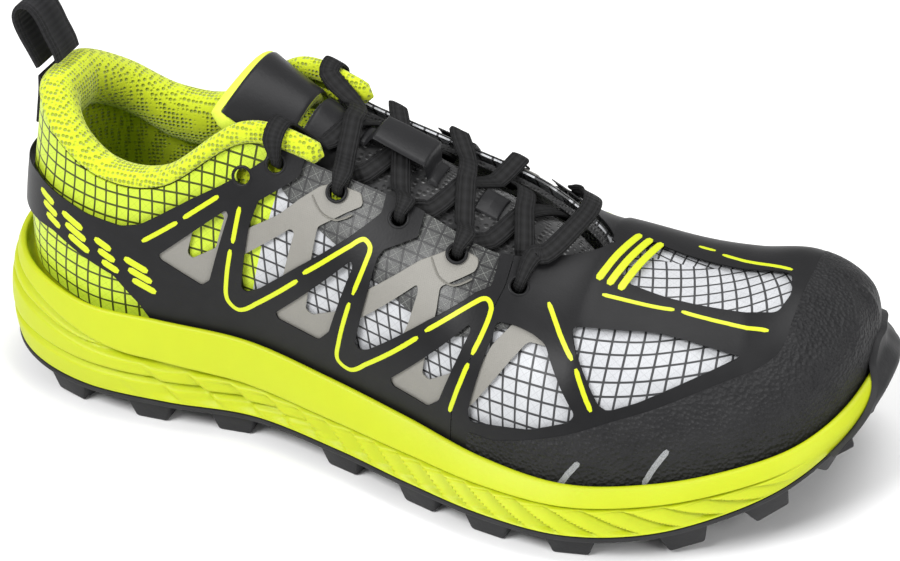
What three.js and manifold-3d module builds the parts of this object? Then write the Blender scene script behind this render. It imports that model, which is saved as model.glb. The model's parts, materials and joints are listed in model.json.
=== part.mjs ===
// Trail running shoe for the right foot, as an assembly of its separate pieces.
// Millimetres, +X from heel to toe, +Y to the medial side, +Z up, lug tips on Z 0.
import * as THREE from "three";
import { mergeVertices } from "three/addons/utils/BufferGeometryUtils.js";
import Module from "manifold-3d";

const wasm = await Module();
wasm.setup();

// ---- Driving dimensions -------------------------------------------------------------------
// The foot outline runs through 15 stations on each side, from the heel centre to the toe centre.
// Each row: x, y on the lateral side, y on the medial side, z.
const FEATHER = [
  [8, 0, 0, 46],
  [11.5, -14.5, 14, 44.5],
  [22, -26, 25, 42],
  [42, -34.2, 31, 39],
  [66, -33.7, 30, 37.7],
  [95, -32, 26, 35.5],
  [124, -36.5, 26, 31.5],
  [152, -42.5, 30, 27.3],
  [178, -49.3, 36, 23.7],
  [203, -51.2, 42.5, 21.8],
  [226, -44.5, 45.5, 22.8],
  [246, -36.5, 45, 27],
  [262, -26, 42, 32],
  [272, -9, 34, 37],
  [276, 14, 14, 41],
];
// Lower edge of the foam, where the rubber sheet starts.
const FOAM_EDGE = [
  [1.5, 0, 0, 16],
  [5, -19, 18, 13.5],
  [18, -32.5, 30.5, 11.5],
  [40, -40, 37, 10],
  [68, -40.8, 35.5, 10],
  [97, -38.6, 30, 10],
  [128, -46, 28, 10],
  [154, -54.5, 32, 10],
  [180, -61, 39, 9.5],
  [205, -62, 45.5, 9],
  [228, -55, 49.5, 10],
  [248, -45, 50, 15],
  [265, -33, 47, 22.5],
  [276.5, -14, 38, 30],
  [281.5, 14, 14, 36],
];
// Top edge of the upper: collar, then the eyestay edges, closing at the throat's front end.
const TOPLINE = [
  [16, 0, 0, 97],
  [18, -13, 13, 96],
  [29, -25, 25, 88.5],
  [46, -30.5, 29, 80.5],
  [67, -30.5, 29, 81.5],
  [92, -22.5, 23, 97],
  [118, -19.5, 21, 91],
  [145, -19.5, 21, 83.5],
  [174, -20.5, 22, 73.5],
  [198, 3, 3, 68.5],
];
// Crest of the vamp, from the throat's front end to the toe.
const CREST = [
  [198, 3, 68.5],
  [218, 8, 63.5],
  [235, 12.5, 62.5],
  [249, 15.5, 64.5],
  [259, 17.5, 63.5],
  [266, 18, 61.5],
];
// How the wall rises at each station: leaning angle and pull at the feather edge, then at the top.
const WALL = [
  [88, 0.3, 82, 0.35],
  [86, 0.3, 82, 0.35],
  [84, 0.35, 84, 0.35],
  [85, 0.35, 86, 0.35],
  [85, 0.4, 86, 0.35],
  [85, 0.4, 62, 0.4],
  [85, 0.4, 48, 0.4],
  [84, 0.4, 40, 0.4],
  [84, 0.4, 32, 0.4],
  [86, 0.42, 0, 0.5],
  [88, 0.45, 0, 0.5],
  [88, 0.45, 0, 0.5],
  [88, 0.45, 0, 0.5],
  [88, 0.45, 0, 0.5],
  [88, 0.45, 0, 0.5],
];
const THROAT_END = 9;
const TOE_END = 14;
const SKIN_DROP = 3;
const RIM_INNER = 2.8;
const RIM_OUTER = 4.6;
const GAP = 0.3;
const SHEET = 2;
const LUG_DEPTH = 10;

// ---- Curves and surfaces ------------------------------------------------------------------
const LATERAL = 1;
const MEDIAL = 2;

const other = (side) => (side === LATERAL ? MEDIAL : LATERAL);
const place = (row, side) => new THREE.Vector3(row[0], row[side], row[3]);

// Smooth curve through points; the first and last point only steer the ends.
function through(points, u) {
  const last = points.length - 4;
  const i = THREE.MathUtils.clamp(Math.floor(u), 0, last);
  const t = u - i;
  const [a, b, c, d] = points.slice(i, i + 4);
  const blend = (p, q, r, s) =>
    q + 0.5 * t * (r - p + t * (2 * p - 5 * q + 4 * r - s + t * (3 * (q - r) + s - p)));
  return new THREE.Vector3(blend(a.x, b.x, c.x, d.x), blend(a.y, b.y, c.y, d.y), blend(a.z, b.z, c.z, d.z));
}

// A loop's half on one side, steered at both ends by the other side's half.
function halfLoop(rows, side) {
  const points = rows.map((row) => place(row, side));
  points.unshift(place(rows[1], other(side)));
  points.push(place(rows[rows.length - 2], other(side)));
  return points;
}

const feather = [null, halfLoop(FEATHER, LATERAL), halfLoop(FEATHER, MEDIAL)];
const foamEdge = [null, halfLoop(FOAM_EDGE, LATERAL), halfLoop(FOAM_EDGE, MEDIAL)];
const topline = [null, halfLoop(TOPLINE, LATERAL), halfLoop(TOPLINE, MEDIAL)];
const crestPoints = CREST.map((p) => new THREE.Vector3(...p));
const crest = [
  crestPoints[0].clone().multiplyScalar(2).sub(crestPoints[1]),
  ...crestPoints,
  crestPoints.at(-1).clone().multiplyScalar(2).sub(crestPoints.at(-2)),
];

// Horizontal direction straight out of the shoe's side at station u.
function outward(loops, side, u) {
  const from = through(loops[side], Math.max(u - 0.001, 0));
  const to = through(loops[side], Math.min(u + 0.001, TOE_END));
  const along = to.sub(from);
  const out = new THREE.Vector3(along.y, -along.x, 0).normalize();
  return side === LATERAL ? out : out.negate();
}

function wallShape(u) {
  const i = Math.min(Math.floor(u), TOE_END - 1);
  const t = THREE.MathUtils.smoothstep(u - i, 0, 1) * 0.5 + (u - i) * 0.5;
  return WALL[i].map((value, k) => THREE.MathUtils.lerp(value, WALL[i + 1][k], t));
}

// The upper's outer surface: u runs from heel to toe, v from the feather edge to the top.
function upperPoint(side, u, v) {
  const low = through(feather[side], u);
  low.z -= SKIN_DROP;
  const onCrest = u >= THROAT_END;
  const high = onCrest ? through(crest, u - THROAT_END) : through(topline[side], u);
  const [lean, pull, topLean, topPull] = wallShape(u);
  const out = outward(feather, side, u);
  const reach = low.distanceTo(high);
  const start = out.clone().multiplyScalar(Math.cos(THREE.MathUtils.degToRad(lean)));
  start.z = Math.sin(THREE.MathUtils.degToRad(lean));
  const end = out.clone().negate();
  if (onCrest) {
    const ahead = through(crest, Math.min(u - THROAT_END + 0.01, TOE_END - THROAT_END));
    const behind = through(crest, Math.max(u - THROAT_END - 0.01, 0));
    end.z = ((ahead.z - behind.z) / (ahead.x - behind.x)) * end.x;
  } else {
    end.z = Math.tan(THREE.MathUtils.degToRad(Math.min(topLean, 85)));
  }
  end.normalize();
  const curve = new THREE.CubicBezierCurve3(
    low,
    low.clone().addScaledVector(start, reach * pull),
    high.clone().addScaledVector(end, -reach * topPull),
    high,
  );
  return curve.getPoint(v);
}

// ---- Solids from points -------------------------------------------------------------------
function geometryOf(points, triangles) {
  const geometry = new THREE.BufferGeometry();
  const coordinates = points.flatMap((p) => [p.x, p.y, p.z]);
  geometry.setAttribute("position", new THREE.Float32BufferAttribute(coordinates, 3));
  geometry.setIndex(triangles.flat());
  return geometry;
}

function manifoldOf(geometry) {
  const bare = geometry.clone();
  bare.deleteAttribute("normal");
  bare.deleteAttribute("uv");
  const merged = mergeVertices(bare, 1e-4);
  return new wasm.Manifold(
    new wasm.Mesh({
      numProp: 3,
      vertProperties: merged.attributes.position.array,
      triVerts: new Uint32Array(merged.index.array),
    }),
  );
}

function geometryFrom(solid) {
  const mesh = solid.getMesh();
  const geometry = new THREE.BufferGeometry();
  geometry.setAttribute("position", new THREE.BufferAttribute(mesh.vertProperties, 3));
  geometry.setIndex(new THREE.BufferAttribute(mesh.triVerts, 1));
  return geometry;
}

// Largest body of a cut, without the crumbs that a cut can leave.
function largest(solid) {
  const bodies = solid.decompose();
  return bodies.reduce((best, body) => (body.volume() > best.volume() ? body : best));
}

// A closed skin over rings of points that all have the same count, capped at both ends.
function loft(rings) {
  const count = rings[0].length;
  const points = rings.flat();
  const triangles = [];
  for (let i = 0; i < rings.length - 1; i++) {
    for (let j = 0; j < count; j++) {
      const a = i * count + j;
      const b = i * count + ((j + 1) % count);
      const closing = j === count - 1;
      triangles.push(closing ? [a, b, a + count] : [a, b, b + count]);
      triangles.push(closing ? [b, b + count, a + count] : [a, b + count, a + count]);
    }
  }
  const ends = [[0, 1], [(rings.length - 1) * count, -1]];
  for (const [start, turn] of ends) {
    const flat = THREE.ShapeUtils.triangulateShape(flatten(rings[start ? rings.length - 1 : 0]), []);
    for (const [a, b, c] of flat) {
      triangles.push(turn > 0 ? [start + c, start + b, start + a] : [start + a, start + b, start + c]);
    }
  }
  const solid = manifoldOf(geometryOf(points, triangles));
  return solid.volume() > 0 ? solid : manifoldOf(geometryOf(points, triangles.map(([a, b, c]) => [a, c, b])));
}

// A ring's points as seen along the direction that it faces, wound the same way.
function flatten(ring) {
  const middle = ring.reduce((sum, p) => sum.add(p), new THREE.Vector3()).divideScalar(ring.length);
  const across = ring[0].clone().sub(middle).normalize();
  const facing = new THREE.Vector3();
  for (let i = 0; i < ring.length; i++) {
    const next = ring[(i + 1) % ring.length].clone().sub(middle);
    facing.add(ring[i].clone().sub(middle).cross(next));
  }
  const up = facing.normalize().clone().cross(across);
  return ring.map((p) => new THREE.Vector2(p.clone().sub(middle).dot(across), p.clone().sub(middle).dot(up)));
}

// ---- The upper as layers over one surface -------------------------------------------------
const ROWS = 5;
// Cells between one station and the next, from heel to toe.
const CELLS = [2, 2, 1, 2, 1, 1, 1, 1, 2, 1, 1, 1, 2, 2];
const STATIONS = CELLS.flatMap((cells, k) => Array.from({ length: cells }, (_, i) => k + i / cells));
STATIONS.push(TOE_END);

// Both sides of the upper as one triangle mesh: they share the heel rib, the toe rib and the crest.
function buildSkin() {
  const points = [];
  const numbers = new Map();
  const corner = (side, i, j) => {
    const shared = i === 0 || i === STATIONS.length - 1 || (j === ROWS && STATIONS[i] >= THROAT_END);
    const key = [shared ? LATERAL : side, i, j].join();
    if (!numbers.has(key)) {
      numbers.set(key, points.length);
      points.push(upperPoint(side, STATIONS[i], j / ROWS));
    }
    return numbers.get(key);
  };
  const faces = [];
  for (const side of [LATERAL, MEDIAL]) {
    for (let i = 0; i < STATIONS.length - 1; i++) {
      for (let j = 0; j < ROWS; j++) {
        const [a, b] = [corner(side, i, j), corner(side, i + 1, j)];
        const [c, d] = [corner(side, i + 1, j + 1), corner(side, i, j + 1)];
        const u = (STATIONS[i] + STATIONS[i + 1]) / 2;
        const v = (j + 0.5) / ROWS;
        const halves = side === LATERAL ? [[a, b, c], [a, c, d]] : [[a, c, b], [a, d, c]];
        halves.forEach((corners) => faces.push({ corners, side, u, v }));
      }
    }
  }
  const normals = points.map(() => new THREE.Vector3());
  for (const { corners } of faces) {
    const [a, b, c] = corners.map((n) => points[n]);
    const area = b.clone().sub(a).cross(c.clone().sub(a));
    corners.forEach((n) => normals[n].add(area));
  }
  normals.forEach((n) => n.normalize());
  return { points, normals, faces };
}

const skin = buildSkin();

// A closed layer between two distances from the upper's surface, over the faces that are kept.
function layer([inner, outer], keep = () => true) {
  const kept = skin.faces.filter(keep).map((face) => face.corners);
  const count = skin.points.length;
  const at = (distance) => skin.points.map((p, n) => p.clone().addScaledVector(skin.normals[n], distance));
  const edges = new Map();
  for (const [a, b, c] of kept) {
    [[a, b], [b, c], [c, a]].forEach((edge) => edges.set(edge.join(), edge));
  }
  const triangles = kept.flatMap(([a, b, c]) => [[a, b, c], [c + count, b + count, a + count]]);
  for (const [p, q] of edges.values()) {
    if (!edges.has([q, p].join())) {
      triangles.push([q, p, p + count], [q, p + count, q + count]);
    }
  }
  return manifoldOf(geometryOf([...at(outer), ...at(inner)], triangles));
}

const FAR = 90;
const onSide = (side) => (face) => face.side === side;

// A cutter through the shoe from an outline of [x, z] points seen from the side.
function across(outline) {
  const shape = new THREE.Shape(outline.map(([x, z]) => new THREE.Vector2(x, z)));
  const geometry = new THREE.ExtrudeGeometry(shape, { depth: 2 * FAR, bevelEnabled: false, steps: 1 });
  return manifoldOf(geometry.rotateX(Math.PI / 2).translate(0, FAR, 0));
}

// A cutter from an outline of [x, y] points seen from above.
function downward(outline) {
  const shape = new THREE.Shape(outline.map(([x, y]) => new THREE.Vector2(x, y)));
  return manifoldOf(new THREE.ExtrudeGeometry(shape, { depth: 2 * FAR, bevelEnabled: false, steps: 1 }));
}

// The upper's surface, its outward normal and its direction towards the top edge at one place.
function placeOn(side, u, v) {
  const point = upperPoint(side, u, v);
  const along = upperPoint(side, u + 0.05, v).sub(upperPoint(side, u - 0.05, v));
  const up = upperPoint(side, u, Math.min(v + 0.02, 1)).sub(upperPoint(side, u, v - 0.02)).normalize();
  const normal = along.cross(up).normalize();
  return { point, normal: side === LATERAL ? normal : normal.negate(), up };
}

// ---- Layers of the upper, as distances from its outer textile surface ----------------------
const LINING = [-3.8, -2.2];
const STIFFENER = [-1.9, -0.9];
const TEXTILE = [-0.6, 0];
const EYESTAY = [0.3, 0.6];
const STRAP = [0.9, 1.3];
const FILM = [1.6, 2];
const RAND = [0.3, 1.3];

// Outlines seen from the side, [x, z]. The medial side uses the same ones.
const FILM_REAR = [
  [-20, 60], [20, 59.5], [28, 59.3], [38, 55.5], [51, 50.8], [59, 42], [64, 34],
  [66, -10], [164, -10], [166.5, 36],
  [172.5, 58], [176, 69], [176, 110], [136, 110], [136, 83.3], [128.5, 77.2],
  [121.5, 72.2], [112.4, 65.7],
  [99.6, 55.4], [95, 53.2], [93.6, 54.5], [96.1, 74.2], [98.6, 83], [110, 90.5], [112, 110], [99.3, 110],
  [99.3, 94.5], [93, 90], [85.6, 85.2], [77, 80], [67.4, 73.8], [60.5, 69.5], [54, 67.8],
  [42, 69], [21, 74.6],
  [-20, 76],
];
const FILM_NOTCH = [
  [148.5, 110], [148.1, 78.6], [138.9, 75], [137.6, 72.8], [136.1, 62.9], [132.9, 46.6], [134.5, 44.9],
  [137.2, 45.7], [156.2, 59.7], [168.6, 67.7], [172.5, 69], [172.5, 110],
];
const WINDOWS_REAR = [
  [[66.2, 60.2], [88.5, 78.8], [89.5, 77.6], [83, 54.6], [80.3, 52.4], [66.9, 58.8]],
  [[105, 48.5], [129.8, 71], [130.6, 69.5], [123.8, 47.6], [120, 43.6], [106, 46.5]],
  [[145, 38.5], [169, 60.9], [169.8, 59.4], [162, 37.2], [158, 33.6], [146, 36.2]],
];
const WINDOW_MIDDLE = [
  [176.4, 61.7], [181.7, 60.9], [187.2, 59.5], [191.8, 57.8], [204.4, 43], [203, 40.7], [191.1, 36.3],
  [172.8, 34], [171.8, 36.8], [176, 58.2],
];
const WINDOW_FRONT = [[198, 61.5], [200, 62.3], [246, 56.2], [220.9, 46.1], [213.2, 44.1], [210.5, 45.4]];
const RAND_LINE = [
  [171.5, 30.5], [180, 30], [191, 33.2], [204, 37.6], [213, 41], [225, 44.4], [240, 50.2],
  [251, 54], [257, 58],
  [258.5, 80],
];
const STRAPS = {
  rear: [
    [62.5, 60.5], [87, 83], [92, 87], [95, 81.5], [92.5, 76], [86, 52], [80, 48.5], [64, 56.5],
  ],
  middle: [
    [91.5, 63.5], [94.6, 65.6], [109.4, 76.5], [110.8, 75.6], [108.1, 62.4], [103, 44.5],
    [121.5, 41], [126.5, 47],
    [129, 56], [117.8, 51.4], [115.6, 52.7], [116.4, 58], [117, 70], [117.6, 78],
    [125.3, 82.2], [129.8, 84.2],
    [128.5, 86.8], [120.3, 88.8], [116.2, 88], [110.9, 84.5], [104.8, 79.4], [96.1, 74.4], [93.2, 71.8],
  ],
  front: [
    [129.5, 50.5], [134.7, 55.3], [150.9, 67.7], [151.6, 66], [150.2, 57.9], [143, 36],
    [160.5, 31.5], [165, 38],
    [167.5, 48], [158.1, 42.3], [155.8, 43.7], [156.8, 51.4], [158.2, 61.8], [157.8, 68],
    [167, 72], [166.8, 74.2],
    [160, 76.8], [150, 73], [136.6, 64.3], [129.5, 59.5],
  ],
  toe: [
    [182, 62], [190.4, 60], [192.5, 57], [186.3, 57.5], [181.7, 51.8],
    [172.8, 39], [169.5, 37], [176.4, 56.1],
  ],
};
const STRAP_SLOT = [[77.3, 69.6], [86.5, 77.5], [88, 76.4], [85.2, 65.8], [77.1, 60.6], [75.5, 62.2]];
const EYESTAY_LINE = [
  [104, 110], [104, 87], [112, 80], [125, 73], [138, 66], [150, 60], [162, 56], [174, 58],
  [188, 62], [196.5, 66],
  [196.5, 110],
];
const TEXTILE_SEAM = [[-20, -10], [74, -10], [96, 50], [104, 88], [104, 110], [-20, 110]];
// Vamp window on the crest, seen from above, [x, y].
const WINDOW_CREST = [[208, 12], [252, 9.5], [254.5, 0], [252.5, -8.5], [208, -12], [205, -9]];
// Eyelets, as [u, v] on the upper's surface: five that are laced, and a spare one behind.
const EYELETS = [[5.4, 0.94], [6.14, 0.93], [6.88, 0.93], [7.55, 0.92], [8.2, 0.86]];
const SPARE_EYELET = [5.03, 0.87];
const EYELET_RADIUS = 2.7;

function eyeletCutter([u, v], side) {
  const { point, normal } = placeOn(side, u, v);
  const hole = new THREE.CylinderGeometry(EYELET_RADIUS, EYELET_RADIUS, 16, 8);
  hole.applyQuaternion(new THREE.Quaternion().setFromUnitVectors(new THREE.Vector3(0, 1, 0), normal));
  return manifoldOf(hole.translate(point.x, point.y, point.z));
}

const eyeletCutters = [LATERAL, MEDIAL].map((side) =>
  [...EYELETS, SPARE_EYELET].map((spot) => eyeletCutter(spot, side)).reduce((all, hole) => all.add(hole)),
);
const punched = (solid) => solid.subtract(eyeletCutters[0]).subtract(eyeletCutters[1]);

// ---- Sole ---------------------------------------------------------------------------------
const atZ = (p, z) => new THREE.Vector3(p.x, p.y, z);
const offsetBy = (p, direction, distance) => p.clone().addScaledVector(direction, distance);

// A loft across the foot: each station's ring runs up the lateral side and back down the medial one.
function acrossFoot(profile) {
  return loft(STATIONS.map((u) => [...profile(LATERAL, u), ...profile(MEDIAL, u).reverse()]));
}

const FLOOR_DROP = 3.6;

// Points up the foam's side wall from its lower edge to the rim that holds the upper.
function foamWall(side, u, grow = 0) {
  const out = outward(feather, side, u);
  const low = offsetBy(through(foamEdge[side], u), out, grow);
  const edge = through(feather[side], u);
  const rim = offsetBy(edge, out, RIM_OUTER + grow);
  low.z -= grow;
  rim.z += grow;
  const bulge = THREE.MathUtils.lerp(3, 1.2, THREE.MathUtils.smoothstep(u, 0, 3));
  return [
    low,
    low.clone().lerp(rim, 0.35).addScaledVector(out, bulge),
    low.clone().lerp(rim, 0.7).addScaledVector(out, bulge * 0.8),
    rim,
  ];
}

function makeMidsole(grow = 0) {
  return acrossFoot((side, u) => {
    const edge = through(feather[side], u);
    const inner = offsetBy(edge, outward(feather, side, u), RIM_INNER - grow);
    return [...foamWall(side, u, grow), atZ(inner, edge.z + grow), atZ(inner, edge.z - FLOOR_DROP)];
  });
}

// A flat layer inside the upper's lower edge, between two heights from the feather line.
function insideLayer(inset, low, edgeHigh, high, roll) {
  return acrossFoot((side, u) => {
    const edge = through(feather[side], u);
    const out = outward(feather, side, u);
    const rim = offsetBy(edge, out, -inset);
    return [
      atZ(rim, edge.z + low),
      atZ(rim, edge.z + edgeHigh),
      atZ(offsetBy(rim, out, -roll), edge.z + high),
    ];
  });
}

const makeBoard = () => insideLayer(4.3, -3.3, -2.6, -2.4, 2);
const makeInsole = () => insideLayer(5, -0.7, 4.2, 3, 6);

function slopeAt(u) {
  const ahead = through(foamEdge[LATERAL], Math.min(u + 0.1, TOE_END));
  const behind = through(foamEdge[LATERAL], Math.max(u - 0.1, 0));
  return Math.atan2(ahead.z - behind.z, Math.max(ahead.x - behind.x, 1));
}

// A tapered block with its wide end up, its own middle on the origin of the upper end.
function frustum(length, width, taper, height) {
  const block = new THREE.BoxGeometry(length, width, height).translate(0, 0, -height / 2);
  const spots = block.attributes.position;
  for (let i = 0; i < spots.count; i++) {
    if (spots.getZ(i) < -height / 2) {
      spots.setX(i, spots.getX(i) * taper);
      spots.setY(i, spots.getY(i) * taper);
    }
  }
  return block;
}

const LUG_ROOT_IN = 1.2;

function lug(spot, heading, pitch, length, width) {
  const height = LUG_DEPTH - LUG_ROOT_IN - Math.max(0, 10 - spot.z);
  const block = frustum(length, width, 0.68, height);
  block.applyMatrix4(new THREE.Matrix4().makeRotationFromEuler(new THREE.Euler(0, -pitch, heading, "ZYX")));
  return manifoldOf(block.translate(spot.x, spot.y, spot.z - LUG_ROOT_IN));
}

// Stations of the lugs along each edge, and of the pairs down the middle.
const EDGE_LUGS = [0.85, 2.6, 3.75, 4.72, 5.97, 7.08, 8.02, 9.1, 10.5, 11.65, 12.8];
const MIDDLE_LUGS = [1.9, 3.2, 4.3, 6.5, 7.55, 8.55, 9.75, 11.05, 12.25];
const EDGE_INSET = 7.6;

function makeLugs() {
  const lugs = [];
  for (const side of [LATERAL, MEDIAL]) {
    for (const u of EDGE_LUGS) {
      const out = outward(foamEdge, side, u);
      const spot = offsetBy(through(foamEdge[side], u), out, -EDGE_INSET);
      const heading = Math.atan2(out.x, -out.y) + (side === MEDIAL ? Math.PI : 0);
      lugs.push(lug(spot, heading, slopeAt(u), 15, 12.5));
    }
    for (const u of MIDDLE_LUGS) {
      const edge = through(foamEdge[side], u);
      const middle = edge.clone().lerp(through(foamEdge[other(side)], u), 0.5);
      const spot = middle.lerp(edge, u > 6 ? 0.3 : 0.27);
      const turn = side === LATERAL ? 0.45 : -0.45;
      lugs.push(lug(spot, turn, slopeAt(u), 12, u > 6 && u < 12 ? 15 : 10));
    }
  }
  const tip = through(foamEdge[LATERAL], TOE_END);
  lugs.push(lug(new THREE.Vector3(tip.x - 5, tip.y, tip.z - 3), Math.PI / 2, 0, 16, 9));
  return lugs;
}

// Distance that the toe wrap climbs, as a share of the way up the foam and over its rim.
function wrapShare(side, u) {
  const [start, end] = side === LATERAL ? [12.9, 13.95] : [11.9, 13.2];
  return THREE.MathUtils.smoothstep(u, start, end);
}

// Toe wrap section: up the foam's front, over the rim and a little way up the rand.
function wrapRing(side, u) {
  const [low, belly, shoulder, rim] = foamWall(side, u);
  const edge = through(feather[side], u);
  const out = outward(feather, side, u);
  const path = new THREE.CurvePath();
  const stops = [
    offsetBy(low, out, 0.5),
    offsetBy(belly, out, 0.4),
    offsetBy(shoulder, out, 0.4),
    atZ(offsetBy(rim, out, 0.4), rim.z + 0.5),
    atZ(offsetBy(edge, out, 2.3), edge.z + 2.5),
    atZ(offsetBy(edge, out, 2), edge.z + 8),
  ];
  for (let i = 0; i < stops.length - 1; i++) {
    path.add(new THREE.LineCurve3(stops[i], stops[i + 1]));
  }
  const share = Math.max(wrapShare(side, u), 0.08);
  const inner = [0, 0.35, 0.7, 1].map((t) => path.getPoint(t * share * 0.999));
  const outer = inner.map((p, i) => offsetBy(p, out, i === 3 ? 1.3 : 2.1));
  outer[0].z -= SHEET;
  return [atZ(low, low.z - SHEET * 0.9), inner[0], ...inner.slice(1), ...outer.reverse()];
}

function makeOutsole() {
  const sheet = acrossFoot((side, u) => {
    const low = through(foamEdge[side], u);
    return [atZ(low, low.z - SHEET), low];
  });
  const lateral = [12.6, 13, 13.35, 13.7, TOE_END].map((u) => wrapRing(LATERAL, u));
  const medial = [13.6, 13.2, 12.8, 12.3, 11.8].map((u) => wrapRing(MEDIAL, u));
  const rubber = makeLugs().reduce((all, one) => all.add(one), sheet.add(loft([...lateral, ...medial])));
  return largest(rubber.subtract(makeMidsole(GAP)).trimByPlane([0, 0, 1], 0));
}

// ---- Upper pieces -------------------------------------------------------------------------
const BAND_FRONT_X = 57;
const VAMP_SEAM_X = 177;
const halfPlane = (side) => {
  const edge = side === LATERAL ? -GAP / 2 : GAP / 2;
  const far = side === LATERAL ? -FAR : FAR;
  return downward([[-FAR, edge], [4 * FAR, edge], [4 * FAR, far], [-FAR, far]]);
};
const behindX = (x) => downward([[-FAR, -FAR], [x, -FAR], [x, FAR], [-FAR, FAR]]);

function makeLining(part) {
  const full = layer(LINING, (face) => face.v < 0.61 || face.u > 5).subtract(makeLace(1.1));
  if (part === "vamp") {
    return largest(punched(full.subtract(behindX(VAMP_SEAM_X + GAP))));
  }
  return largest(punched(full.intersect(behindX(VAMP_SEAM_X)).intersect(halfPlane(part))));
}

const makeCounter = () => layer(STIFFENER, (face) => face.u < 2.5 && face.v > 0.12 && face.v < 0.75);
const makePuff = () => layer(STIFFENER, (face) => face.u > 11.5 && face.v > 0.12 && face.v < 0.63);

function makeQuarter(side) {
  return largest(punched(layer(TEXTILE).intersect(across(TEXTILE_SEAM)).intersect(halfPlane(side))));
}

function makeVampTextile() {
  const seam = TEXTILE_SEAM.map(([x, z]) => [x > 0 ? x + GAP : x, z]);
  return largest(punched(layer(TEXTILE).subtract(across(seam))));
}

function makeRand() {
  const outline = [[171.5, -10], ...RAND_LINE, [300, 80], [300, -10]];
  return largest(layer(RAND, (face) => face.u > 6).intersect(across(outline)));
}

function filmCut() {
  const whole = layer(FILM);
  const kept = whole.intersect(across(FILM_REAR)).subtract(across(FILM_NOTCH));
  return punched(WINDOWS_REAR.reduce((film, outline) => film.subtract(across(outline)), kept));
}

const filmRear = filmCut();

const makeHeelBand = () => largest(filmRear.intersect(behindX(BAND_FRONT_X)));

function makeSideFilm(side) {
  return largest(filmRear.subtract(behindX(BAND_FRONT_X + GAP)).intersect(halfPlane(side)));
}

function makeVampFilm() {
  const behind = [[-20, -10], [164.3, -10], [166.8, 36], [172.8, 58], [176.3, 69], [176.3, 110], [-20, 110]];
  const rand = [[171.5, -10], ...RAND_LINE, [300, 80], [300, -10]];
  let film = layer(FILM, (face) => face.u > 6).subtract(across(behind)).subtract(across(rand));
  film = film.subtract(across(WINDOW_MIDDLE)).subtract(across(WINDOW_FRONT)).subtract(downward(WINDOW_CREST));
  return largest(punched(film));
}

function makeStrap(outline, side) {
  const cutter = outline === STRAPS.rear ? across(outline).subtract(across(STRAP_SLOT)) : across(outline);
  return largest(punched(layer(STRAP, onSide(side)).intersect(cutter)));
}

function makeEyestay(side) {
  return largest(punched(layer(EYESTAY, onSide(side)).intersect(across(EYESTAY_LINE))));
}

// Collar roll sections, [inward, up] from the top edge: full at the ankle, slim along the eyestay.
const ROLL_FULL = [
  [-0.2, 1], [0.7, 3.2], [4, 4.8], [8.4, 4], [11.2, 0], [11.6, -6], [9, -12], [5, -14],
  [2.8, -10], [2.1, -1],
];
const ROLL_SLIM = [
  [-1, 0.8], [-2.4, 3], [-1.6, 6], [0.4, 7.4], [2.4, 6.6], [3.4, 4.2], [3, 2], [2.4, 1],
  [1.6, 0.6], [0.6, 0.6],
];
const ROLL_END = 5.9;

function rollRing(side, u) {
  const edge = through(topline[side], u);
  const out = outward(feather, side, u);
  const slim = THREE.MathUtils.smoothstep(u, 3.5, 4.9);
  return ROLL_FULL.map(([inward, up], k) => {
    const along = THREE.MathUtils.lerp(inward, ROLL_SLIM[k][0], slim);
    const rise = THREE.MathUtils.lerp(up, ROLL_SLIM[k][1], slim);
    return atZ(offsetBy(edge, out, -along), edge.z + rise);
  });
}

function makeCollar() {
  const stops = [...STATIONS.filter((u) => u > 0 && u < ROLL_END), ROLL_END];
  const lateral = stops.toReversed().map((u) => rollRing(LATERAL, u));
  return loft([...lateral, rollRing(LATERAL, 0), ...stops.map((u) => rollRing(MEDIAL, u))]);
}

// ---- Tongue -------------------------------------------------------------------------------
// Stations up the tongue: crown x and z, half width, drop at the edges, how far the edges lie back.
const TONGUE = [
  [196, 61.5, 9, 2, 0],
  [182, 70, 20, 9, 0],
  [165, 76.5, 24.5, 13, 0],
  [148, 83, 25, 13.5, 0],
  [131, 89.5, 24.5, 13.5, 0],
  [117, 95, 19, 13, 0.5],
  [104, 103, 19, 12, 4],
  [85, 112.5, 21.5, 8, 4],
];
const TONGUE_MIDDLE_Y = 0;
const tongueRows = TONGUE.map((row) => row.slice());
const stretchRow = (a, b) => a.map((value, k) => 2 * value - b[k]);
tongueRows.unshift(stretchRow(TONGUE[0], TONGUE[1]));
tongueRows.push(stretchRow(TONGUE.at(-1), TONGUE.at(-2)));

function tongueShape(s) {
  const one = through(tongueRows.map((r) => new THREE.Vector3(r[0], r[1], r[2])), s);
  const two = through(tongueRows.map((r) => new THREE.Vector3(r[3], r[4], 0)), s);
  return [one.x, one.y, one.z, two.x, two.y];
}

// A place on the tongue: s up its length, w from -1 to 1 across it, lift above its face.
function tonguePoint(s, w, lift = 0) {
  const on = (a, b) => {
    const [x, z, half, drop, back] = tongueShape(THREE.MathUtils.clamp(a, 0, 7));
    return new THREE.Vector3(x - back * b * b, TONGUE_MIDDLE_Y + half * b, z - drop * b * b);
  };
  const along = on(s + 0.02, w).sub(on(s - 0.02, w));
  const side = on(s, w + 0.02).sub(on(s, w - 0.02));
  return on(s, w).addScaledVector(side.cross(along).normalize(), lift);
}

const range = (from, to, steps) =>
  Array.from({ length: steps + 1 }, (_, i) => from + ((to - from) * i) / steps);

// A pad on the tongue between two stations and two sides, from one lift to another.
function tonguePad(stations, widths, low, high) {
  return loft(
    stations.map((s) => [
      ...widths.map((w) => tonguePoint(s, w, high(s, w))),
      ...widths.toReversed().map((w) => tonguePoint(s, w, low(s, w))),
    ]),
  );
}

const FLAP_START = 5.95;
const BINDING_START = 6.2;
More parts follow.
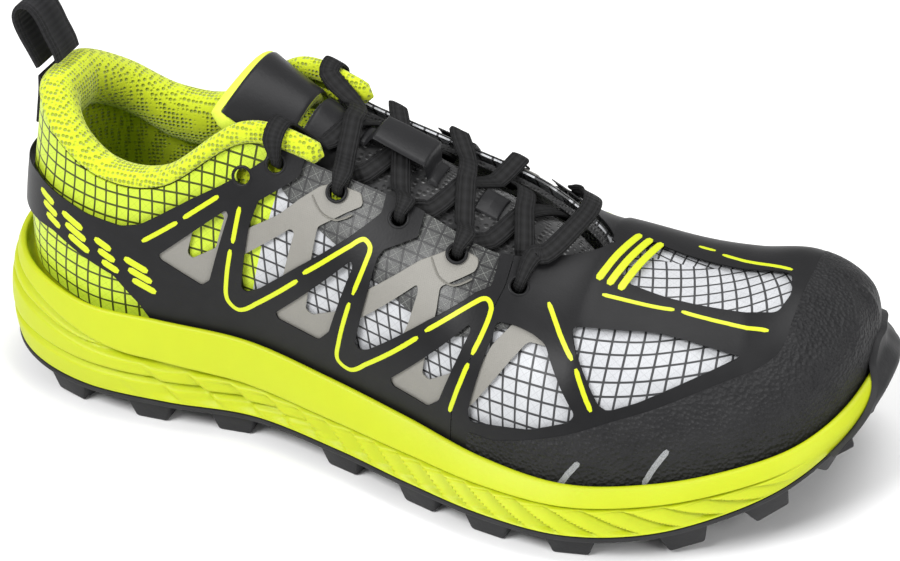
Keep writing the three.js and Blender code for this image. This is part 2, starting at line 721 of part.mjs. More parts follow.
// Room that the tongue leaves for the upper and the lace that runs under it.
const UNDER_EYESTAY = [-7.2, 3];
const flapRounding = (s, w) => 1 - 0.45 * Math.abs(w) ** 3 - 0.35 * THREE.MathUtils.smoothstep(s, 6.6, 7);

const makeTongueBase = () => {
  const sheet = tonguePad(range(0, FLAP_START - 0.1, 8), range(-1, 1, 8), () => -2.4, () => 0);
  return largest(sheet.subtract(layer(UNDER_EYESTAY, (face) => face.u > 4)).subtract(makeLace(GAP)));
};
const makeTonguePad = () =>
  tonguePad(range(FLAP_START, 6.8, 4), range(-0.86, 0.86, 6), (s, w) => -7 * flapRounding(s, w), () => 0);
const makeShield = () =>
  tonguePad(range(FLAP_START + 0.02, 6.75, 4), range(-0.82, 0.5, 5), () => 0.3, () => 1.2);
const makePatch = () =>
  tonguePad(range(1.98, 2.42, 2), [-0.25, 0, 0.25], () => 0.3, (s, w) => (w === 0 ? 1.2 : 0.8));

const KEEPER_STATIONS = [3.12, 3.27, 3.36, 3.45, 3.7, 3.95, 4.2, 4.45, 4.54, 4.63, 4.74];

function makeKeeper() {
  const lift = (s) => 0.3 + 5.6 * (1 - THREE.MathUtils.smoothstep(Math.abs(s - 3.95), 0.53, 0.66));
  return tonguePad(KEEPER_STATIONS, [-0.22, 0, 0.22], lift, (s) => lift(s) + 1.3);
}

const FLAT_SECTION = [[1, 1], [-1, 1], [-1, -1], [1, -1]];
const ROUND_SECTION = range(0, 7, 7).map((k) => [Math.cos((k * Math.PI) / 4), Math.sin((k * Math.PI) / 4)]);

// A cord or tape along a path, each ring set by a width direction and two half sizes.
function tube(points, widths, sizes, section) {
  const rings = points.map((p, i) => {
    const ahead = points[Math.min(i + 1, points.length - 1)];
    const along = ahead.clone().sub(points[Math.max(i - 1, 0)]).normalize();
    const wide = widths[i].clone().addScaledVector(along, -widths[i].dot(along)).normalize();
    const thick = along.clone().cross(wide);
    return section.map(([c, s]) => offsetBy(offsetBy(p, wide, c * sizes[i][0]), thick, s * sizes[i][1]));
  });
  return loft(rings);
}

function makeBinding() {
  const lift = -2.6;
  const edge = [
    ...range(BINDING_START, 6.85, 3).map((s) => tonguePoint(s, -0.97, lift)),
    ...range(-0.93, 0.93, 8).map((w) => tonguePoint(7, w, lift)),
    ...range(6.85, BINDING_START, 3).map((s) => tonguePoint(s, 0.97, lift)),
  ];
  const middle = new THREE.Vector3(110, TONGUE_MIDDLE_Y, 85);
  const widths = edge.map((p) => p.clone().sub(middle));
  return tube(edge, widths, edge.map(() => [0.9, 2.4]), ROUND_SECTION);
}

// ---- Lace ---------------------------------------------------------------------------------
// The lace is one flat braid. Half width and half thickness where it lies flat, and in an eyelet.
const LACE_FLAT = [3.1, 0.6];
const LACE_BUNCHED = [1.7, 1];
const OUTSIDE = 3.3;
const INSIDE = -5.2;
const LOW_PASS = 1.9;
const HIGH_PASS = 3.8;
const THROAT_SLOPE = new THREE.Vector3(0.93, 0, -0.36);
// Tongue stations beside eyelets 1 to 5.
const EYELET_ON_TONGUE = [5.6, 4.62, 3.32, 2.2, 1.15];

const stop = (point, size, wide = THROAT_SLOPE) => ({ point, size, wide });

// Way over the collar roll to the first eyelet, [inward, up] from the top edge.
const OVER_ROLL = [[4.9, 7], [0.8, 9], [-4, 5]];

function overRoll(u, side) {
  const edge = through(topline[side], u);
  const out = outward(feather, side, u);
  return OVER_ROLL.map(([along, rise]) => stop(atZ(offsetBy(edge, out, -along), edge.z + rise), LACE_FLAT));
}

// The lace's way through eyelet n, from its outer side to its inner side.
function stitch(n, side) {
  const [u, v] = EYELETS[n - 1];
  const { point, normal, up } = placeOn(side, u, v);
  const rim = placeOn(side, u, 0.99);
  const over = [stop(offsetBy(offsetBy(rim.point, rim.normal, OUTSIDE), rim.up, 1.2), LACE_FLAT)];
  return [
    ...(n === 1 ? overRoll(u, side) : over),
    stop(offsetBy(offsetBy(point, normal, OUTSIDE - 0.3), up, 1.5), LACE_BUNCHED),
    stop(offsetBy(point, normal, -0.8), LACE_BUNCHED),
    stop(offsetBy(offsetBy(point, normal, INSIDE - 0.5), up, 1.5), LACE_BUNCHED),
    stop(offsetBy(rim.point, rim.normal, INSIDE), LACE_FLAT),
  ];
}

const inward = (n, side) => stitch(n, side);
const outwardThrough = (n, side) => stitch(n, side).reverse();

// A pass over the tongue from one eyelet's side to the other's.
function pass(from, to, side, lift) {
  const sign = side === LATERAL ? -1 : 1;
  return [0.55, 0, -0.55].map((w) => {
    const share = (1 - w) / 2;
    const s = THREE.MathUtils.lerp(EYELET_ON_TONGUE[from - 1], EYELET_ON_TONGUE[to - 1], share);
    return stop(tonguePoint(s, sign * w, lift), LACE_FLAT);
  });
}

// Hand-placed route of each loose end, tucked forward under the tongue, on the lateral side.
const TAIL = [
  [101, -19.5, 82], [103.5, -18.5, 76], [112, -16, 72.5], [130, -12, 71.5],
  [150, -10, 68], [178, -8, 60], [205, -6, 52],
  [222, -5, 48],
];
const TAIL_END = new THREE.Vector3(0.97, 0.04, -0.22).normalize();
const AGLET_LENGTH = 22;

function tail(side) {
  const mirror = side === LATERAL ? 1 : -1;
  return TAIL.map(([x, y, z], i) => {
    const turn = THREE.MathUtils.smoothstep(i, -1, 2) * (Math.PI / 2);
    const wide = new THREE.Vector3(Math.cos(turn), mirror * Math.sin(turn), 0);
    return stop(new THREE.Vector3(x, mirror * y + (mirror < 0 ? 2 : 0), z), LACE_FLAT, wide);
  });
}

// The bar across the bottom of the lacing.
const BAR = [[184, -17.5, 74.5], [189, -8, 78.2], [191, 2, 79.5], [189.5, 12, 78.4], [185, 20, 75]];

function laceStops() {
  const bar = BAR.map((p) => stop(new THREE.Vector3(...p), LACE_FLAT));
  return [
    ...tail(LATERAL).reverse(),
    ...outwardThrough(1, LATERAL).slice(1),
    ...pass(1, 2, LATERAL, LOW_PASS),
    ...outwardThrough(2, MEDIAL),
    ...pass(2, 3, MEDIAL, HIGH_PASS),
    ...inward(3, LATERAL),
    ...pass(3, 4, LATERAL, LOW_PASS),
    ...inward(4, MEDIAL),
    ...pass(4, 5, MEDIAL, HIGH_PASS),
    ...outwardThrough(5, LATERAL),
    ...bar,
    ...inward(5, MEDIAL),
    ...pass(5, 4, MEDIAL, LOW_PASS),
    ...outwardThrough(4, LATERAL),
    ...pass(4, 3, LATERAL, HIGH_PASS),
    ...inward(3, MEDIAL),
    ...pass(3, 2, MEDIAL, LOW_PASS),
    ...outwardThrough(2, LATERAL),
    ...pass(2, 1, LATERAL, HIGH_PASS),
    ...inward(1, MEDIAL).slice(0, -1),
    ...tail(MEDIAL),
  ];
}

// Evenly shared samples between the stops: one at each stop and one between.
function laceSamples() {
  const stops = laceStops();
  const curve = new THREE.CatmullRomCurve3(stops.map((one) => one.point), false, "centripetal");
  const spans = stops.length - 1;
  return range(0, spans, spans * 2).map((t) => {
    const i = Math.min(Math.floor(t), spans - 1);
    const [a, b] = [stops[i], stops[i + 1]];
    return {
      point: curve.getPoint(t / spans),
      size: a.size.map((value, k) => THREE.MathUtils.lerp(value, b.size[k], t - i)),
      wide: a.wide.clone().lerp(b.wide, t - i),
    };
  });
}

const laceRun = laceSamples();

function makeLace(grow = 0) {
  return tube(
    laceRun.map((one) => one.point),
    laceRun.map((one) => one.wide),
    laceRun.map((one) => one.size.map((value) => value + grow)),
    FLAT_SECTION,
  );
}

function makeAglet(side) {
  const start = tail(side).at(-1).point;
  const direction = TAIL_END.clone().setY(side === LATERAL ? TAIL_END.y : -TAIL_END.y);
  const aglet = new THREE.CylinderGeometry(1.6, 1.6, AGLET_LENGTH, 8);
  aglet.applyQuaternion(new THREE.Quaternion().setFromUnitVectors(new THREE.Vector3(0, 1, 0), direction));
  const middle = offsetBy(start, direction, AGLET_LENGTH / 2 + 1.2);
  return manifoldOf(aglet.translate(middle.x, middle.y, middle.z));
}

// ---- Pull loop ----------------------------------------------------------------------------
const WEBBING_HALF = 7;
const WEBBING_THICK = 1.6;
// The webbing seen from the side, [x, z]: sewn leg up the heel, then the free loop.
const SEWN_LEG = [[12.2, 82], [13.2, 88], [14.2, 94], [14.6, 98.5]];
const LOOP = [
  [14.2, 101.4], [11.4, 107], [8.6, 112.6], [7.4, 117.5], [9, 121], [12.6, 121.4],
  [15.6, 118], [18, 112.5],
  [20.3, 107.6], [21.2, 104.2],
];

function webbing(points) {
  return loft(
    points.map(([x, z], i) => {
      const [ax, az] = points[Math.min(i + 1, points.length - 1)];
      const [bx, bz] = points[Math.max(i - 1, 0)];
      const across = new THREE.Vector2(az - bz, bx - ax).normalize().multiplyScalar(WEBBING_THICK / 2);
      const corner = (turn, y) => new THREE.Vector3(x + turn * across.x, y, z + turn * across.y);
      return [
        corner(1, -WEBBING_HALF),
        corner(1, WEBBING_HALF),
        corner(-1, WEBBING_HALF),
        corner(-1, -WEBBING_HALF),
      ];
    }),
  );
}

// ---- The assembly -------------------------------------------------------------------------
const COLOURS = {
  foam: [0xcdf01e, 0.75],
  rubber: [0x2c2b2d, 0.8],
  black: [0x252427, 0.6],
  lime: [0xc8ee1a, 0.85],
  white: [0xdedee0, 0.5],
  grey: [0xa8a69c, 0.55],
  green: [0x5fa015, 0.9],
  board: [0xe6e2d6, 0.9],
};

const shoe = new THREE.Group();

function add(name, solid, colour) {
  const [color, roughness] = COLOURS[colour];
  const material = new THREE.MeshStandardMaterial({ color, roughness, metalness: 0 });
  const mesh = new THREE.Mesh(geometryFrom(solid), material);
  mesh.name = name;
  shoe.add(mesh);
}

add("outsole", makeOutsole(), "rubber");
add("midsole", makeMidsole(), "foam");
add("lasting_board", makeBoard(), "board");
add("insole", makeInsole(), "green");
add("lining_vamp", makeLining("vamp"), "black");
add("heel_counter", makeCounter(), "board");
add("toe_puff", makePuff(), "board");
add("vamp_textile", makeVampTextile(), "white");
add("toe_rand", makeRand(), "black");
add("heel_band", makeHeelBand(), "black");
add("vamp_film", makeVampFilm(), "black");
for (const [label, side] of [["lateral", LATERAL], ["medial", MEDIAL]]) {
  add(`lining_${label}`, makeLining(side), "lime");
  add(`quarter_${label}`, makeQuarter(side), "lime");
  add(`eyestay_${label}`, makeEyestay(side), "black");
  add(`film_${label}`, makeSideFilm(side), "black");
  for (const [spot, outline] of Object.entries(STRAPS)) {
    add(`strap_${spot}_${label}`, makeStrap(outline, side), "grey");
  }
  add(`aglet_${label}`, makeAglet(side), "black");
}
add("collar_roll", makeCollar(), "lime");
add("tongue_base", makeTongueBase(), "black");
add("tongue_pad", makeTonguePad(), "lime");
add("tongue_shield", makeShield(), "black");
add("tongue_binding", makeBinding(), "lime");
add("lace_keeper", makeKeeper(), "black");
add("tongue_patch", makePatch(), "black");
add("lace", makeLace(), "black");
add("loop_anchor", webbing(SEWN_LEG), "black");
add("pull_loop", webbing(LOOP), "black");

// The origin goes to the middle of the object's box, on the floor.
const box = new THREE.Box3().setFromObject(shoe);
const middle = box.getCenter(new THREE.Vector3());
shoe.position.set(-middle.x, -middle.y, -box.min.z);
shoe.updateMatrixWorld(true);

export default shoe;
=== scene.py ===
"""Trail running shoe, right foot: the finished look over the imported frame."""
import json
import math

import bmesh
import bpy
from mathutils import Matrix, Vector
from mathutils.bvhtree import BVHTree

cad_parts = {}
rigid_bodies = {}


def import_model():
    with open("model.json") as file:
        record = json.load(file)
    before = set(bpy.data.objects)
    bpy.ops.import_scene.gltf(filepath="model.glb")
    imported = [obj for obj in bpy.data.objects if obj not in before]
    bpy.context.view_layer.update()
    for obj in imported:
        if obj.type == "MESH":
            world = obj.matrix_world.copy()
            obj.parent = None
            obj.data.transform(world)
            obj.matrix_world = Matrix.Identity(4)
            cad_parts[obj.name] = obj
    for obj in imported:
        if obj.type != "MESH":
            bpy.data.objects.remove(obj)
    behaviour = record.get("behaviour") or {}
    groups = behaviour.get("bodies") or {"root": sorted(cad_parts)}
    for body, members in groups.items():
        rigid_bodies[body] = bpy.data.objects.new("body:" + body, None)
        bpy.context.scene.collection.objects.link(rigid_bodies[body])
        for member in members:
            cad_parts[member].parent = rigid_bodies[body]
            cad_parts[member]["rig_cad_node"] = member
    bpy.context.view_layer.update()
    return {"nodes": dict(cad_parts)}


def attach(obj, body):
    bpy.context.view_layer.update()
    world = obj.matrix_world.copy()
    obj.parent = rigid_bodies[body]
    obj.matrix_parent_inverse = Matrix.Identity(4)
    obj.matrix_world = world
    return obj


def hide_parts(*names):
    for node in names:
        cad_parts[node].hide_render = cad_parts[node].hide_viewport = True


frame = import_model()

# Shoe coordinates are millimetres from the heel; this point of them is the frame's origin.
ORIGIN = Vector((141.6325, -5.6485, 0))
LATERAL, MEDIAL = 1, 2
MM = 0.001


def metres(point):
    return (Vector(point) - ORIGIN) * MM


# ---- Camera and light ----------------------------------------------------------------------
def add_camera():
    azimuth, elevation, roll = (math.radians(a) for a in (21, 32.049, -0.709))
    flat = math.cos(elevation)
    back = Vector((math.sin(azimuth) * flat, -math.cos(azimuth) * flat, math.sin(elevation)))
    right = Vector((math.cos(azimuth), math.sin(azimuth), 0))
    up = back.cross(right)
    across = right * math.cos(roll) + up * math.sin(roll)
    upward = up * math.cos(roll) - right * math.sin(roll)
    target = Vector((145, 0, 45)) + across * 2.526 + upward * 1.719
    camera = bpy.data.objects.new("camera", bpy.data.cameras.new("camera"))
    camera.data.sensor_width = 36
    camera.data.lens = 103.68
    camera.data.clip_start = 0.05
    camera.matrix_world = Matrix.Translation(metres(target + back * 800)) @ Matrix(
        (across, upward, back)
    ).transposed().to_4x4()
    bpy.context.scene.collection.objects.link(camera)
    bpy.context.scene.camera = camera


def add_softbox(name, place, size, power):
    lamp = bpy.data.lights.new(name, "AREA")
    lamp.shape = "RECTANGLE"
    lamp.size, lamp.size_y = size
    lamp.energy = power
    holder = bpy.data.objects.new(name, lamp)
    holder.location = place
    holder.rotation_euler = (Vector((0, 0, 0.05)) - Vector(place)).to_track_quat("-Z", "Y").to_euler()
    bpy.context.scene.collection.objects.link(holder)


def add_studio():
    world = bpy.context.scene.world or bpy.data.worlds.new("studio")
    bpy.context.scene.world = world
    world.use_nodes = True
    sky = world.node_tree.nodes["Background"]
    sky.inputs["Color"].default_value = (1, 1, 1, 1)
    sky.inputs["Strength"].default_value = 0.42
    bpy.context.scene.view_settings.view_transform = "Standard"
    add_softbox("key", (-0.5, -0.9, 1.1), (0.7, 0.5), 21)
    add_softbox("top", (0.25, 0.3, 1.3), (1.0, 0.8), 12)
    add_softbox("front", (1.1, -0.5, 0.6), (0.6, 0.6), 6)
    bm = bmesh.new()
    bmesh.ops.create_grid(bm, x_segments=1, y_segments=1, size=3)
    floor = new_piece("floor", bm, STUDIO_WHITE)


# ---- Shape tables, millimetres ---------------------------------------------------------------
# Foot outline at the feather edge: x, lateral y, medial y, z.
FEATHER = [
    (8, 0, 0, 46), (11.5, -14.5, 14, 44.5), (22, -26, 25, 42), (42, -34.2, 31, 39), (66, -33.7, 30, 37.7),
    (95, -32, 26, 35.5), (124, -36.5, 26, 31.5), (152, -42.5, 30, 27.3), (178, -49.3, 36, 23.7),
    (203, -51.2, 42.5, 21.8), (226, -44.5, 45.5, 22.8), (246, -36.5, 45, 27), (262, -26, 42, 32),
    (272, -9, 34, 37), (276, 14, 14, 41),
]
# Lower edge of the foam.
FOAM_EDGE = [
    (1.5, 0, 0, 16), (5, -19, 18, 13.5), (18, -32.5, 30.5, 11.5), (40, -40, 37, 10), (68, -40.8, 35.5, 10),
    (97, -38.6, 30, 10), (128, -46, 28, 10), (154, -54.5, 32, 10), (180, -61, 39, 9.5), (205, -62, 45.5, 9),
    (228, -55, 49.5, 10), (248, -45, 50, 15), (265, -33, 47, 22.5), (276.5, -14, 38, 30), (281.5, 14, 14, 36),
]
# Collar and eyestay edge, then the crest of the vamp: x, y, z.
TOPLINE = [
    (16, 0, 0, 97), (18, -13, 13, 96), (29, -25, 25, 88.5), (46, -30.5, 29, 80.5), (67, -30.5, 29, 81.5),
    (92, -22.5, 23, 97), (118, -19.5, 21, 91), (145, -19.5, 21, 83.5),
    (174, -20.5, 22, 73.5), (198, 3, 3, 68.5),
]
CREST = [
    (198, 3, 68.5), (218, 8, 63.5), (235, 12.5, 62.5), (249, 15.5, 64.5), (259, 17.5, 63.5), (266, 18, 61.5),
]
# Lean and pull of the wall at its foot, then at its top, at each station.
WALL = [
    (88, 0.3, 82, 0.35), (86, 0.3, 82, 0.35), (84, 0.35, 84, 0.35), (85, 0.35, 86, 0.35), (85, 0.4, 86, 0.35),
    (85, 0.4, 62, 0.4), (85, 0.4, 48, 0.4), (84, 0.4, 40, 0.4), (84, 0.4, 32, 0.4), (86, 0.42, 0, 0.5),
    (88, 0.45, 0, 0.5), (88, 0.45, 0, 0.5), (88, 0.45, 0, 0.5), (88, 0.45, 0, 0.5), (88, 0.45, 0, 0.5),
]
THROAT_END = 9
TOE_END = 14


def through(points, u):
    """Smooth curve through points; the first and last only steer the ends."""
    i = max(0, min(int(math.floor(u)), len(points) - 4))
    t = u - i
    a, b, c, d = points[i : i + 4]
    return b + 0.5 * t * ((c - a) + t * ((2 * a - 5 * b + 4 * c - d) + t * (3 * (b - c) + d - a)))


def half_loop(rows, side):
    other = LATERAL + MEDIAL - side
    points = [Vector((r[0], r[side], r[3])) for r in rows]
    first = Vector((rows[1][0], rows[1][other], rows[1][3]))
    last = Vector((rows[-2][0], rows[-2][other], rows[-2][3]))
    return [first, *points, last]


feather = [None, half_loop(FEATHER, LATERAL), half_loop(FEATHER, MEDIAL)]
foam_edge = [None, half_loop(FOAM_EDGE, LATERAL), half_loop(FOAM_EDGE, MEDIAL)]
topline = [None, half_loop(TOPLINE, LATERAL), half_loop(TOPLINE, MEDIAL)]
crest = [Vector(p) for p in CREST]
crest = [2 * crest[0] - crest[1], *crest, 2 * crest[-1] - crest[-2]]


def outward(loops, side, u):
    start = through(loops[side], max(u - 0.001, 0))
    end = through(loops[side], min(u + 0.001, TOE_END))
    along = end - start
    out = Vector((along.y, -along.x, 0)).normalized()
    return out if side == LATERAL else -out


def smoothstep(x, low, high):
    t = max(0.0, min(1.0, (x - low) / (high - low)))
    return t * t * (3 - 2 * t)


def lerp(a, b, t):
    return a + (b - a) * t


def wall_shape(u):
    i = min(int(u), TOE_END - 1)
    t = u - i
    t = 0.5 * smoothstep(t, 0, 1) + 0.5 * t
    return [lerp(a, b, t) for a, b in zip(WALL[i], WALL[i + 1])]


def upper_point(side, u, v):
    """The upper's outer surface: u from heel to toe, v from the feather edge to the top."""
    low = through(feather[side], u) - Vector((0, 0, 3))
    on_crest = u >= THROAT_END
    high = through(crest, u - THROAT_END) if on_crest else through(topline[side], u)
    lean, pull, top_lean, top_pull = wall_shape(u)
    out = outward(feather, side, u)
    reach = (high - low).length
    start = out * math.cos(math.radians(lean))
    start.z = math.sin(math.radians(lean))
    end = -out
    if on_crest:
        ahead = through(crest, min(u - THROAT_END + 0.01, 5))
        behind = through(crest, max(u - THROAT_END - 0.01, 0))
        end.z = (ahead.z - behind.z) / (ahead.x - behind.x) * end.x
    else:
        end.z = math.tan(math.radians(min(top_lean, 85)))
    end.normalize()
    a, b = low + start * reach * pull, high - end * reach * top_pull
    w = 1 - v
    return w**3 * low + 3 * w * w * v * a + 3 * w * v * v * b + v**3 * high


def place_on(side, u, v):
    """Point, outward normal and upward direction on the upper."""
    point = upper_point(side, u, v)
    along = upper_point(side, u + 0.05, v) - upper_point(side, u - 0.05, v)
    up = (upper_point(side, u, min(v + 0.02, 1)) - upper_point(side, u, v - 0.02)).normalized()
    normal = along.cross(up).normalized()
    return point, (normal if side == LATERAL else -normal), up


# ---- Making pieces -----------------------------------------------------------------------------
def new_piece(name, bm, material, smooth=35):
    """A finished mesh object from a bmesh in metres."""
    mesh = bpy.data.meshes.new(name)
    bm.to_mesh(mesh)
    bm.free()
    for face in mesh.polygons:
        face.use_smooth = True
    mesh.set_sharp_from_angle(angle=math.radians(smooth))
    piece = bpy.data.objects.new(name, mesh)
    bpy.context.scene.collection.objects.link(piece)
    mesh.materials.append(material)
    return piece


def settle(piece, body, slot, *nodes):
    """Puts a piece on its body and lets it stand for its CAD nodes."""
    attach(piece, body)
    if nodes:
        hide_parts(*nodes)
    return piece


def mapped_grid(columns, rows, place, chart=None):
    """A grid bent into shape: place and chart take (s, t), each from 0 to 1."""
    bm = bmesh.new()
    bmesh.ops.create_grid(bm, x_segments=columns, y_segments=rows, size=0.5)
    uv = bm.loops.layers.uv.new("chart")
    for face in bm.faces:
        for loop in face.loops:
            s, t = loop.vert.co.x + 0.5, loop.vert.co.y + 0.5
            loop[uv].uv = chart(s, t) if chart else (s, t)
    for vert in bm.verts:
        vert.co = metres(place(vert.co.x + 0.5, vert.co.y + 0.5))
    return bm


def tidy(bm, gap=1e-5):
    bmesh.ops.remove_doubles(bm, verts=bm.verts, dist=gap)
    bmesh.ops.dissolve_degenerate(bm, edges=bm.edges, dist=1e-7)
    return bm


def seal(bm, gap):
    """Joins the seam of a bent grid, caps its open ends and turns its faces outwards."""
    bmesh.ops.remove_doubles(bm, verts=bm.verts, dist=gap)
    bmesh.ops.holes_fill(bm, edges=[e for e in bm.edges if e.is_boundary], sides=0)
    bmesh.ops.recalc_face_normals(bm, faces=bm.faces)


def pour(bm, part):
    """Adds one finished part to a larger piece."""
    holder = bpy.data.meshes.new("part")
    part.to_mesh(holder)
    part.free()
    bm.from_mesh(holder)
    bpy.data.meshes.remove(holder)


def outline_tool(name, outlines, radius=1.2, down=False):
    """A cutter through the shoe from outlines seen from the side, or from above."""
    bm = bmesh.new()
    for outline in outlines:
        if down:
            corners = [bm.verts.new(metres((x, y, 30))) for x, y in outline]
        else:
            corners = [bm.verts.new(metres((x, -90, z))) for x, z in outline]
        bm.faces.new(corners)
    if radius:
        bmesh.ops.bevel(
            bm, geom=bm.verts[:], offset=radius * MM, segments=4, profile=0.5, affect="VERTICES", material=-1,
            clamp_overlap=True,
        )
    made = bmesh.ops.extrude_face_region(bm, geom=bm.faces[:])
    reach = Vector((0, 0, 0.09)) if down else Vector((0, 0.18, 0))
    tops = [g for g in made["geom"] if isinstance(g, bmesh.types.BMVert)]
    bmesh.ops.translate(bm, verts=tops, vec=reach)
    bmesh.ops.recalc_face_normals(bm, faces=bm.faces)
    return tool_object(name, bm)


def tool_object(name, bm):
    mesh = bpy.data.meshes.new(name)
    bm.to_mesh(mesh)
    bm.free()
    tool = bpy.data.objects.new(name, mesh)
    bpy.context.scene.collection.objects.link(tool)
    return tool


def carve(piece, *steps):
    """Applies boolean steps, each (operation, tool)."""
    for operation, tool in steps:
        step = piece.modifiers.new(operation, "BOOLEAN")
        step.operation = operation
        step.solver = "EXACT"
        step.object = tool
    shaped = bpy.data.meshes.new_from_object(piece.evaluated_get(bpy.context.evaluated_depsgraph_get()))
    piece.modifiers.clear()
    piece.data = shaped
    for face in shaped.polygons:
        face.use_smooth = True
    shaped.set_sharp_from_angle(angle=math.radians(35))
    return piece


# ---- Materials -------------------------------------------------------------------------------
def effect(name, inputs, build):
    """A shared node group that gives one value called Amount."""
    tree = bpy.data.node_groups.new(name, "ShaderNodeTree")
    for label, kind in inputs:
        tree.interface.new_socket(label, in_out="INPUT", socket_type=kind)
    tree.interface.new_socket("Amount", in_out="OUTPUT", socket_type="NodeSocketFloat")
    entry = tree.nodes.new("NodeGroupInput")
    leave = tree.nodes.new("NodeGroupOutput")
    tree.links.new(build(tree, entry.outputs), leave.inputs["Amount"])
    return tree


def math_node(tree, operation, *values):
    node = tree.nodes.new("ShaderNodeMath")
    node.operation = operation
    for socket, value in zip(node.inputs, values):
        feed(tree, socket, value)
    return node.outputs[0]


def feed(tree, socket, value):
    if isinstance(value, bpy.types.NodeSocket):
        tree.links.new(value, socket)
    else:
        socket.default_value = value


def stepped(tree, value, low, high):
    """Smooth step of a value from low to high."""
    node = tree.nodes.new("ShaderNodeMapRange")
    node.interpolation_type = "SMOOTHSTEP"
    for label, given in (("Value", value), ("From Min", low), ("From Max", high)):
        feed(tree, node.inputs[label], given)
    return node.outputs["Result"]


def parts_of(tree, vector):
    node = tree.nodes.new("ShaderNodeSeparateXYZ")
    feed(tree, node.inputs[0], vector)
    return node.outputs


def thread_lines(tree, given):
    """Two crossed sets of threads: 1 on a thread and 0 between them."""
    axes = parts_of(tree, given["Vector"])
    half = math_node(tree, "MULTIPLY", given["Width"], 0.5)
    soft = math_node(tree, "MULTIPLY", half, 1.5)
    lines = []
    for axis in axes[:2]:
        scaled = math_node(tree, "DIVIDE", axis, given["Spacing"])
        away = math_node(tree, "MULTIPLY", math_node(tree, "PINGPONG", scaled, 0.5), given["Spacing"])
        lines.append(math_node(tree, "SUBTRACT", 1.0, stepped(tree, away, half, soft)))
    return math_node(tree, "MAXIMUM", *lines)


def knit_cells(tree, given):
    """Round openings of a spacer mesh in staggered rows: 1 in an opening and 0 on the yarn."""
    node = tree.nodes.new("ShaderNodeTexVoronoi")
    tree.links.new(given["Vector"], node.inputs["Vector"])
    tree.links.new(given["Scale"], node.inputs["Scale"])
    node.inputs["Randomness"].default_value = 0.22
    return math_node(tree, "SUBTRACT", 1.0, stepped(tree, node.outputs["Distance"], 0.16, 0.5))


def mottle(tree, given):
    """Soft uneven tone."""
    node = tree.nodes.new("ShaderNodeTexNoise")
    tree.links.new(given["Vector"], node.inputs["Vector"])
    tree.links.new(given["Scale"], node.inputs["Scale"])
    node.inputs["Detail"].default_value = 4
    return node.outputs["Fac"]


def ribs(tree, given):
    """Even ribs along one axis."""
    return math_node(tree, "PINGPONG", math_node(tree, "MULTIPLY", given["Place"], given["Count"]), 0.5)


VECTOR, FLOAT = "NodeSocketVector", "NodeSocketFloat"
THREADS = effect("threads", [("Vector", VECTOR), ("Spacing", FLOAT), ("Width", FLOAT)], thread_lines)
KNIT = effect("knit", [("Vector", VECTOR), ("Scale", FLOAT)], knit_cells)
MOTTLE = effect("mottle", [("Vector", VECTOR), ("Scale", FLOAT)], mottle)
RIBS = effect("ribs", [("Place", FLOAT), ("Count", FLOAT)], ribs)


SOFT_GLOSS = 0.16


class Finish:
    """A material under construction: its tree, its shader and its coordinates."""

    def __init__(self, name, roughness, charted=False, **shader):
        self.material = bpy.data.materials.new(name)
        self.material.use_nodes = True
        self.tree = self.material.node_tree
        self.shader = self.tree.nodes["Principled BSDF"]
        self.shader.inputs["Roughness"].default_value = roughness
        for label, value in shader.items():
            self.shader.inputs[label.replace("_", " ")].default_value = value
        if charted:
            chart = self.tree.nodes.new("ShaderNodeUVMap")
            chart.uv_map = "chart"
            self.spot = chart.outputs["UV"]
        else:
            self.spot = self.tree.nodes.new("ShaderNodeTexCoord").outputs["Object"]

    def use(self, group, **inputs):
        node = self.tree.nodes.new("ShaderNodeGroup")
        node.node_tree = group
        for label, value in inputs.items():
            feed(self.tree, node.inputs[label], value)
        return node.outputs["Amount"]

    def math(self, operation, *values):
        return math_node(self.tree, operation, *values)

    def mix(self, factor, first, second):
        node = self.tree.nodes.new("ShaderNodeMix")
        node.data_type = "RGBA"
        for label, value in ((0, factor), (6, first), (7, second)):
            feed(self.tree, node.inputs[label], (*value, 1) if isinstance(value, tuple) else value)
        return node.outputs[2]

    def turned(self, degrees):
        node = self.tree.nodes.new("ShaderNodeVectorRotate")
        node.rotation_type = "Z_AXIS"
        feed(self.tree, node.inputs["Vector"], self.spot)
        node.inputs["Angle"].default_value = math.radians(degrees)
        return node.outputs["Vector"]

    def paint(self, colour):
        feed(self.tree, self.shader.inputs["Base Color"], colour)

    def emboss(self, height, distance, strength=0.6):
        node = self.tree.nodes.new("ShaderNodeBump")
        node.inputs["Distance"].default_value = distance
        node.inputs["Strength"].default_value = strength
        self.tree.links.new(height, node.inputs["Height"])
        self.tree.links.new(node.outputs["Normal"], self.shader.inputs["Normal"])
        return self.material


LIME_FOAM, LIME_YARN, LIME_INK = (0.45, 0.515, 0.0), (0.55, 0.65, 0.0), (0.50, 0.57, 0.0)


def plain_finish(name, base, second, roughness, grain, depth, **shader):
    """Two close tones with a fine grain."""
    finish = Finish(name, roughness, **shader)
    finish.paint(finish.mix(finish.use(MOTTLE, Vector=finish.spot, Scale=grain / 6), base, second))
    return finish.emboss(finish.use(MOTTLE, Vector=finish.spot, Scale=grain), depth)


def pebbled_rubber():
    finish = Finish("toe_rand_rubber", 0.5, Specular_IOR_Level=SOFT_GLOSS)
    cells = finish.tree.nodes.new("ShaderNodeTexVoronoi")
    finish.tree.links.new(finish.spot, cells.inputs["Vector"])
    cells.inputs["Scale"].default_value = 800
    tone = finish.use(MOTTLE, Vector=finish.spot, Scale=120.0)
    finish.paint(finish.mix(tone, (0.010, 0.010, 0.011), (0.024, 0.024, 0.025)))
    return finish.emboss(cells.outputs["Distance"], 0.0008, 0.9)


